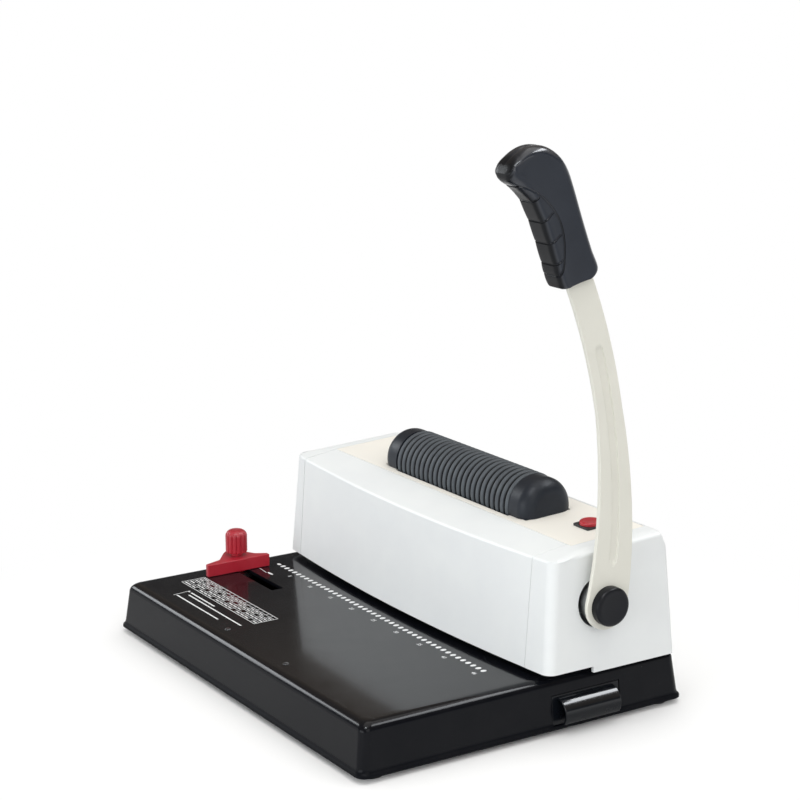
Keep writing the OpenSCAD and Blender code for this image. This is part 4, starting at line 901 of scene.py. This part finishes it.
def leverStations():
    # middle, direction and half width of each section: round the end below the pivot, then up to the grip
    leverEnd = asin((lever["top"] - lever["knee"]) / lever["curve"])
    down = Vector((sin(leverStart), -cos(leverStart)))
    stations = []
    for i in range(lever["endSteps"]):
        t = radians(89 - 89 * i / lever["endSteps"])
        stations.append((down * lever["end"] * sin(t), -down, lever["end"] * cos(t)))
    for i in range(lever["steps"] + 1):
        a = leverStart + (leverEnd - leverStart) * i / lever["steps"]
        spot = leverMiddle(a)
        ahead = (leverMiddle(a + 1e-4) - leverMiddle(a - 1e-4)).normalized()
        wider = max(0, 1 - max(spot.y, 0) / lever["taper"])
        stations.append((spot, ahead, lever["half"] + (lever["end"] - lever["half"]) * wider))
    return stations


def barOutline(half):
    # across the bar: round edges on its face, tighter ones behind
    x0, x1 = lever["x"]
    edge = min(lever["edge"], half * 0.45)
    tight = edge * 0.6
    face = [(edge - half + 2 * (half - edge) * k / lever["across"], x1) for k in range(1, lever["across"])]
    return (arc((edge - half, x1 - edge), edge, 180, 90, 4) + face
            + arc((half - edge, x1 - edge), edge, 90, 0, 4)
            + arc((half - tight, x0 + tight), tight, 0, -90, 3)
            + arc((tight - half, x0 + tight), tight, -90, -180, 3))


def sunk(across, height):
    # how deep the face lies: a long groove with round ends, and a line scored along its front edge
    low, high = lever["groove"]
    past = max(0.0, low - height, height - high)
    wall = smoothStep((lever["grooveHalf"] + 0.2 - hypot(across, past)) / lever["grooveWall"])
    score = max(0.0, 1 - ((across + lever["grooveHalf"]) / lever["scoreHalf"]) ** 2) if past == 0 else 0.0
    return lever["grooveDeep"] * wall + lever["scoreDeep"] * score


def leverBar():
    pivotY, pivotZ = house["pivot"]
    rings = []
    for spot, ahead, half in leverStations():
        side = Vector((ahead.y, -ahead.x))
        ring = []
        for across, x in barOutline(half):
            at = spot + side * across
            deep = sunk(across, spot.y) if x > lever["x"][1] - 0.01 else 0.0
            ring.append((x - deep, pivotY + at.x, pivotZ + at.y))
        rings.append(ring)
    return smoothShade(loft("leverBar", rings), 45)


def pivotCap():
    # button-shaped cover over the bolt, with a soft rim and a slightly sunk face
    r, soft, bore, x = cap["radius"], cap["round"], cap["bore"], lever["x"][1]
    top = x + cap["height"]
    profile = [(bore, x), (r - 0.3, x), (r, x + 0.3), (r, top - soft)]
    profile += arc((r - soft, top - soft), soft, 15, 90, 5)
    profile += [(r - soft - 1.5, top), (r - soft - 2.4, top - 0.25), (0, top - 0.35), (0, top - cap["top"]),
                (bore, top - cap["top"])]
    return smoothShade(turned("pivotCap", profile, (0, *house["pivot"]), "x", 96, hollow=True), 40)


def hubDisc():
    # stepped disc behind the bar, in the cover's hole
    x, r, soft = lever["x"][0], hub["radius"], hub["round"]
    bore, neck, start, step = hub["bore"], hub["neck"], hub["start"], x - hub["thick"]
    profile = [(bore, start), (neck, start), (neck, step), (r - 0.6, step), (r, step + 0.6), (r, x - soft),
               (r - soft, x), (bore, x)]
    return smoothShade(turned("leverHub", profile, (0, *house["pivot"]), "x", 96, hollow=True), 35)


leverCream = sprayed("leverCream", paint(225, 224, 214), paint(221, 220, 210), 0.34, 1.1)
place(leverBar(), leverCream, "lever", "cream_enamel", "lever_arm")
capBlack = sprayed("capBlack", paint(11, 13, 19), paint(16, 18, 24), 0.36, 0.45, 0.03, shine=0.22)
hubZinc = metal("hubZinc", paint(196, 198, 198), 0.42, (1, 1, 1))
place(pivotCap(), capBlack, "lever", "black_plastic", "pivot_cap")
place(hubDisc(), hubZinc, "lever", "bright_steel", "lever_hub")

# grip: a bent handle over the lever's top, with an insert on the finger side whose forward faces carry
# painted shade
grip = {"middle": 182.0, "half": 10.4, "soft": (4.6, 7.2), "softFrom": 0.35, "close": 0.13, "dish": 1.0,
        # matching points down the back and up the front of the handle, as (y, z) of the machine
        "back": [(38.2, 326.8), (41.7, 333.0), (36.4, 345.2), (30.8, 359.6), (25.2, 374.9), (19.8, 390.2),
                 (15.9, 400.2), (11.0, 407.6), (4.2, 413.1), (-4.2, 416.4), (-13.8, 416.1), (-23.2, 411.5),
                 (-30.2, 405.4)],
        "front": [(12.5, 320.2), (9.0, 326.4), (5.7, 337.4), (0.4, 352.2), (-5.2, 366.0), (-11.9, 379.0),
                  (-16.5, 384.6), (-21.0, 388.4), (-25.0, 391.0), (-27.9, 392.7), (-30.3, 394.5),
                  (-32.1, 396.7), (-32.7, 399.9)],
        # finger insert: heights on the front line, with how far back its edge stands there
        "insert": [(391.0, 1.0), (388.4, 3.0), (381.6, 6.6), (371.2, 10.8), (360.6, 12.4), (349.0, 10.6),
                   (337.6, 6.2), (332.4, 3.2), (329.8, 1.0)],
        # heights of the grooves between fingers; drop: how far they fall for each millimetre forward
        "fingers": (380.4, 366.6, 351.8, 337.4), "drop": 0.33, "groove": 1.0, "fingerGroove": 0.9,
        "grooveSteps": (10, 8, 6.5, 5.2, 4, 3, 2, 1.2, 0.6, 0.2), "swell": 0.6,
        "seam": 1.0, "seamHalf": 0.6, "seamEdge": 1.7}


def gripSection(line, at):
    # one section: its middle, the way to the back, half length, half width, corner radius and front height
    n = min(int(at), len(line) - 2)
    backY, backZ, frontY, frontZ = (a + (b - a) * (at - n) for a, b in zip(line[n], line[n + 1]))
    back, front = Vector((backY, backZ)), Vector((frontY, frontZ))
    t = at / (len(line) - 1)
    close = max(0.0, 1 - (1 - t) / grip["close"])
    half = grip["half"] * (0.5 + 0.5 * sqrt(max(0.0, 1 - close ** 2)))
    long = (back - front).length / 2
    narrow, wide = grip["soft"]
    soft = narrow + (wide - narrow) * smoothStep((t - grip["softFrom"]) / grip["softFrom"])
    return {"middle": (back + front) / 2, "backward": (back - front).normalized(), "long": long, "half": half,
            "soft": min(soft, long * 0.85, half * 0.72), "height": frontZ}


def sideAt(section, away):
    # half width of a section at a distance back from its front
    half, soft, long = section["half"], section["soft"], section["long"]
    if away < soft:
        return half - soft + sqrt(max(0.0, soft ** 2 - (soft - away) ** 2))
    flat = long - soft
    dish = grip["dish"] * min(1.0, flat / 8)
    return half - dish * max(0.0, 1 - ((away - long) / max(flat, 0.01)) ** 2) ** 0.7


def gripPoint(section, across, away):
    spot = section["middle"] + section["backward"] * (away - section["long"])
    return Vector((grip["middle"] + across, spot.x, spot.y))


def swellAt(height):
    # slow waves of the front between the finger grooves
    marks = [grip["insert"][0][0], *grip["fingers"], grip["insert"][-1][0]]
    for high, low in zip(marks, marks[1:]):
        if low < height < high:
            return grip["swell"] * sin(pi * (height - low) / (high - low)) ** 0.6
    return 0.0


def gripLoft(line):
    # bent block between the back and front lines: soft corners, dished sides and a seam down the back
    rings = []
    total = len(line) - 1
    bends = [pi / 14 * k for k in range(1, 7)]
    for n in range(total + 1):
        section = gripSection(line, n)
        half, soft, long = section["half"], section["soft"], section["long"]
        # drawn in a little towards the lower end
        shrink = 1 - 0.12 * (1 - sqrt(1 - max(0.0, 1 - n / total / 0.03) ** 2))
        swell = swellAt(section["height"])
        seam = grip["seam"] * min(1.0, soft / 4)
        flat = half - soft
        ring = [(flat * k / 3, -swell) for k in range(4)]
        ring += [(flat + soft * sin(a), soft - soft * cos(a) - swell * cos(a) ** 2) for a in bends]
        ways = [soft + 2 * (long - soft) * k / 12 for k in range(13)]
        ring += [(sideAt(section, away), away) for away in ways]
        ring += [(flat + soft * cos(a), 2 * long - soft + soft * sin(a)) for a in bends]
        ring += [(flat, 2 * long), (min(flat, grip["seamEdge"]), 2 * long),
                 (min(flat, grip["seamHalf"]), 2 * long - seam)]
        ring += [(-u, v) for u, v in ring[:0:-1]]
        rings.append([gripPoint(section, u * shrink, long + (v - long) * shrink) for u, v in ring])
    return loft("handleGrip", rings)


def sectionAt(line, height):
    # the section whose front stands at a height
    for n in range(len(line) - 1):
        if line[n][3] <= height <= line[n + 1][3]:
            return gripSection(line, n + (height - line[n][3]) / (line[n + 1][3] - line[n][3]))
    return gripSection(line, len(line) - 1)


def acrossFront(section):
    flat = section["half"] - section["soft"]
    return [gripPoint(section, flat * (1 - k / 5), 0) for k in range(11)]


def fingerGrooves(line):
    # cutters: the insert's edge round both sides and the front, then a groove between each two fingers
    edge = spline(grip["insert"], 5)
    near = [(sectionAt(line, height), away) for height, away in edge]
    right, left = ([gripPoint(s, way * sideAt(s, away), away) for s, away in near] for way in (1, -1))
    loop = right + acrossFront(near[-1][0]) + left[::-1] + acrossFront(near[0][0])[::-1]
    cutters = [tube("insertEdge", loop, grip["groove"], closed=True)]
    for height in grip["fingers"]:
        reach = max(a for (z, a), (y, b) in zip(edge, edge[1:]) if (z - height) * (y - height) <= 0)
        steps = [reach - 0.2] + [a for a in grip["grooveSteps"] if a < reach - 0.4]
        levels = [(sectionAt(line, height + grip["drop"] * away), away) for away in steps]
        right, left = ([gripPoint(s, way * sideAt(s, away), away) for s, away in levels] for way in (1, -1))
        path = right + acrossFront(sectionAt(line, height)) + left[::-1]
        cutters.append(tube("fingerGroove", path, grip["fingerGroove"]))
    return cutters


gripDark = sprayed("gripDark", paint(32, 37, 46), paint(38, 43, 52), 0.40, 0.55, 0.03, shine=0.14)
grey = Wire(gripDark, gripDark.shader.inputs["Base Color"].links[0].from_socket)
outward, backward = gripDark.facing()[:2]
# ahead: 1 on faces turned forward, where the painted shade goes
ahead = gripDark.ramp(backward, -0.75, -0.35, 1, 0, smooth=True)
rim = gripDark.ramp(outward, 0.86, 0.97, 1, 0, smooth=True)
# painted shade: faces turned forward, on the finger side, are coloured near black and made dull; the rounded
# rims are worn shiny
gripDark.put(colour=gripDark.blend(ahead, grey, paint(12, 14, 18)),
             coat=(0.3 + rim * 0.7) * gripDark.ramp(ahead, 0, 1, 1.0, 0.1), coatRough=0.18)
gripLine = spline([b + f for b, f in zip(grip["back"], grip["front"])], 10)
handle = combine(gripLoft(gripLine), fingerGrooves(gripLine))
soften(handle, 0.22, 48)
place(smoothShade(handle, 34), gripDark, "lever", "dark_grip", "lever_grip")
print("lever, cap and grip made")

# edge guide on the deck, and the knob that clamps it
guide = {"x": -160.5, "y": -74.1, "length": 56.5, "height": 10.0, "bottom": 40.8, "nose": -186.5,
         "slotY": -41.1, "tongueHalf": (7, 3.8), "tongueZ": (37.8, 42)}
knob = {"x": -173.5, "radius": 8.8, "z": (50.8, 72.3), "flutes": 14, "fluteDeep": 0.9, "stud": 2.5,
        "studZ": (30.5, 52)}


def guideBar():
    x, y, middleY, nose = guide["x"], guide["y"], guide["slotY"], guide["nose"]
    end, (halfX, halfY), (tongueLow, tongueHigh) = y + guide["length"], guide["tongueHalf"], guide["tongueZ"]
    outline = [(x, y), (x, end), (x - 4, end), (x - 9, middleY + 15), (nose + 3, middleY + 7),
               (nose, middleY + 4), (nose, middleY - 4), (nose + 3, middleY - 7), (x - 9, middleY - 18),
               (x - 4, y)]
    bar = prism("guideBar", outline, "z", guide["bottom"], guide["bottom"] + guide["height"])
    combine(bar, [block("tongue", (knob["x"] - halfX, middleY - halfY, tongueLow),
                        (knob["x"] + halfX, middleY + halfY, tongueHigh))], "UNION")
    soften(bar, 0.8, 25, 3)
    return smoothShade(bar, 35)


def flutedKnob():
    # levels of (radius, height, how much of the flutes shows there), over the stud that goes into the slot
    low, high = knob["z"]
    r, flutes = knob["radius"], knob["flutes"]
    sides = flutes * 8
    levels = [(4.6, low + 0.1, 0), (4.6, low + 2.4, 0), (r - 1.6, low + 2.4, 0), (r - 0.5, low + 2.9, 0.4),
              (r, low + 3.6, 1), (r, high - 6.0, 1), (r, high - 4.4, 1), (r - 0.35, high - 3.1, 0.6),
              (r - 1.3, high - 1.6, 0.2), (r - 2.9, high - 0.5, 0), (r - 4.6, high - 0.06, 0),
              (r - 6.6, high, 0)]
    rings = []
    for radius, z, cut in levels:
        ring = []
        for i in range(sides):
            a = 2 * pi * i / sides
            near = radius - knob["fluteDeep"] * cut * max(0.0, cos(flutes * a)) ** 1.5
            ring.append((knob["x"] + near * cos(a), guide["slotY"] + near * sin(a), z))
        rings.append(ring)
    stud = rod("stud", knob["stud"], *knob["studZ"], (knob["x"], guide["slotY"], 0), sides=32)
    return smoothShade(combine(loft("guideKnob", rings), [stud], "UNION"), 40)


guideRed = sprayed("guideRed", paint(176, 34, 50), paint(166, 31, 46), 0.36, 0.5, 0.015)
place(guideBar(), guideRed, "guide", "red_plastic", "edge_guide")
place(flutedKnob(), guideRed, "knob", "red_plastic", "guide_knob")
print("edge guide made")

# finishes of the nodes that stay as they are
stays = (
    (metal("frameSteel", paint(150, 152, 156), 0.45, (12, 1, 1)),
     ("side_frame_left", "side_frame_right", "front_tie_bar", "rear_tie_bar", "die_plate", "punch_guide",
      "punch_bar", "pin_retainer", "cam_yokes", "eccentrics")),
    (metal("brightSteel", paint(204, 206, 210), 0.24),
     ("depth_stop", "guide_rods", "cam_shaft", "lever_bolt", "roller_shaft", "foot_screws", "guide_clamp_nut",
      "punch_pins")),
    (metal("springSteel", paint(190, 192, 196), 0.30, (1, 1, 12)),
     ("return_springs", "button_spring", "shaft_clip")),
    (metal("darkScrew", paint(52, 52, 56), 0.45, (1, 1, 1)),
     ("frame_screws", "yoke_screws", "grip_screws", "rear_cover_screws")),
    (metal("bronze", paint(186, 142, 84), 0.36, (1, 6, 6)), ("shaft_bushings", "roller_bushings")),
    (metal("sheetSteel", paint(172, 174, 178), 0.40), ("deck_support", "roller_cradle", "motor_bracket")),
    (sprayed("plateBlack", paint(30, 31, 33), paint(38, 38, 40), 0.5, 0.8, 0.03),
     ("base_plate", "chip_tray")),
    (sprayed("pulleyPlastic", paint(42, 43, 46), paint(50, 50, 53), 0.5, 0.6),
     ("roller_pulley", "motor_pulley")),
    (sprayed("beltRubber", paint(22, 22, 23), paint(30, 30, 30), 0.7, 0.4, 0.04), ("drive_belt",)),
    (metal("coreTube", paint(170, 172, 176), 0.4), ("roller_core",)),
    (metal("motorCase", paint(120, 122, 126), 0.38, (12, 1, 1)), ("gear_motor",)),
    (sprayed("supplyCase", paint(150, 150, 136), paint(140, 141, 128), 0.45, 0.8), ("power_supply",)),
    (sprayed("boardGreen", paint(24, 92, 54), paint(30, 104, 60), 0.4, 1.2, 0.03), ("control_board",)),
    (sprayed("inletPlastic", paint(28, 28, 31), paint(35, 35, 38), 0.42, 0.5), ("power_inlet",)))
for finish, names in stays:
    for name in names:
        node = frame["nodes"][name]
        node.data.materials.clear()
        node.data.materials.append(finish.material)
print("finishes put on the nodes that stay")

# floor and world: shadeFrom and wallFrom are heights between which a tone sets in, and fade is the way
# out from the machine over which the floor turns into the backdrop
room = {"light": 0.82, "lightTint": (1, 0.995, 0.985, 1), "shade": paint(58, 62, 66),
        "wall": paint(134, 122, 108), "shadeFrom": (0.08, 0.22), "wallFrom": (0.30, 0.37),
        "white": (1, 1, 1, 1), "backdrop": 1.0, "floorSize": 30, "fade": (0.17, 0.42),
        "floor": (0.94, 0.94, 0.94, 1), "floorBounce": (0.5, 0.5, 0.5, 1)}


def throughRays(wiring):
    # rays that show the backdrop: straight from the camera, or by way of a shiny or clear surface
    rays = wiring.add("ShaderNodeLightPath", output=["Is Camera Ray", "Is Glossy Ray", "Is Transmission Ray"])
    return wiring.largest(*rays), rays[1]


def layFloor():
    # pale paper under the machine, which fades into the backdrop and throws less light back than it shows
    bpy.ops.mesh.primitive_plane_add(size=room["floorSize"], location=(0, 0, 0))
    floor = bpy.context.object
    floor.name = "studioFloor"
    white = bpy.data.materials.new("studioFloor")
    white.use_nodes = True
    white.node_tree.nodes.clear()
    paper = Wiring(white.node_tree)
    seen = throughRays(paper)[0]
    away = paper.add("ShaderNodeVectorMath", {"operation": "LENGTH"},
                     {0: paper.add("ShaderNodeTexCoord", output="Object")}, "Value")
    tone = paper.blend(seen, room["floorBounce"], room["floor"])
    bare = paper.add("ShaderNodeBsdfDiffuse", {}, {"Color": tone})
    glow = paper.add("ShaderNodeEmission", {}, {"Strength": room["backdrop"]})
    faded = seen * paper.ramp(away, *room["fade"], smooth=True)
    mixed = paper.add("ShaderNodeMixShader", {}, {0: faded, 1: bare, 2: glow})
    paper.add("ShaderNodeOutputMaterial", {}, {"Surface": mixed}, [])
    floor.data.materials.append(white)


def lightWorld():
    # white all round at the horizon, and a plain room above it in what the gloss shows
    world = bpy.data.worlds.new("studioWorld")
    scene.world = world
    world.use_nodes = True
    world.node_tree.nodes.clear()
    air = Wiring(world.node_tree)
    seen, shiny = throughRays(air)
    height = air.add("ShaderNodeSeparateXYZ", {}, {0: air.add("ShaderNodeTexCoord", output="Generated")}, 2)
    tone = air.blend(air.ramp(height, *room["wallFrom"], smooth=True), room["shade"], room["wall"])
    shade = air.blend(shiny * air.ramp(height, *room["shadeFrom"], smooth=True), room["white"], tone)
    backdrop = air.add("ShaderNodeBackground", {}, {"Color": shade, "Strength": room["backdrop"]})
    light = air.add("ShaderNodeBackground", {}, {"Color": room["lightTint"], "Strength": room["light"]})
    mixed = air.add("ShaderNodeMixShader", {}, {0: seen, 1: light, 2: backdrop})
    air.add("ShaderNodeOutputWorld", {}, {"Surface": mixed}, [])


layFloor()
lightWorld()
scene.view_settings.view_transform = "Standard"
print("studio made")
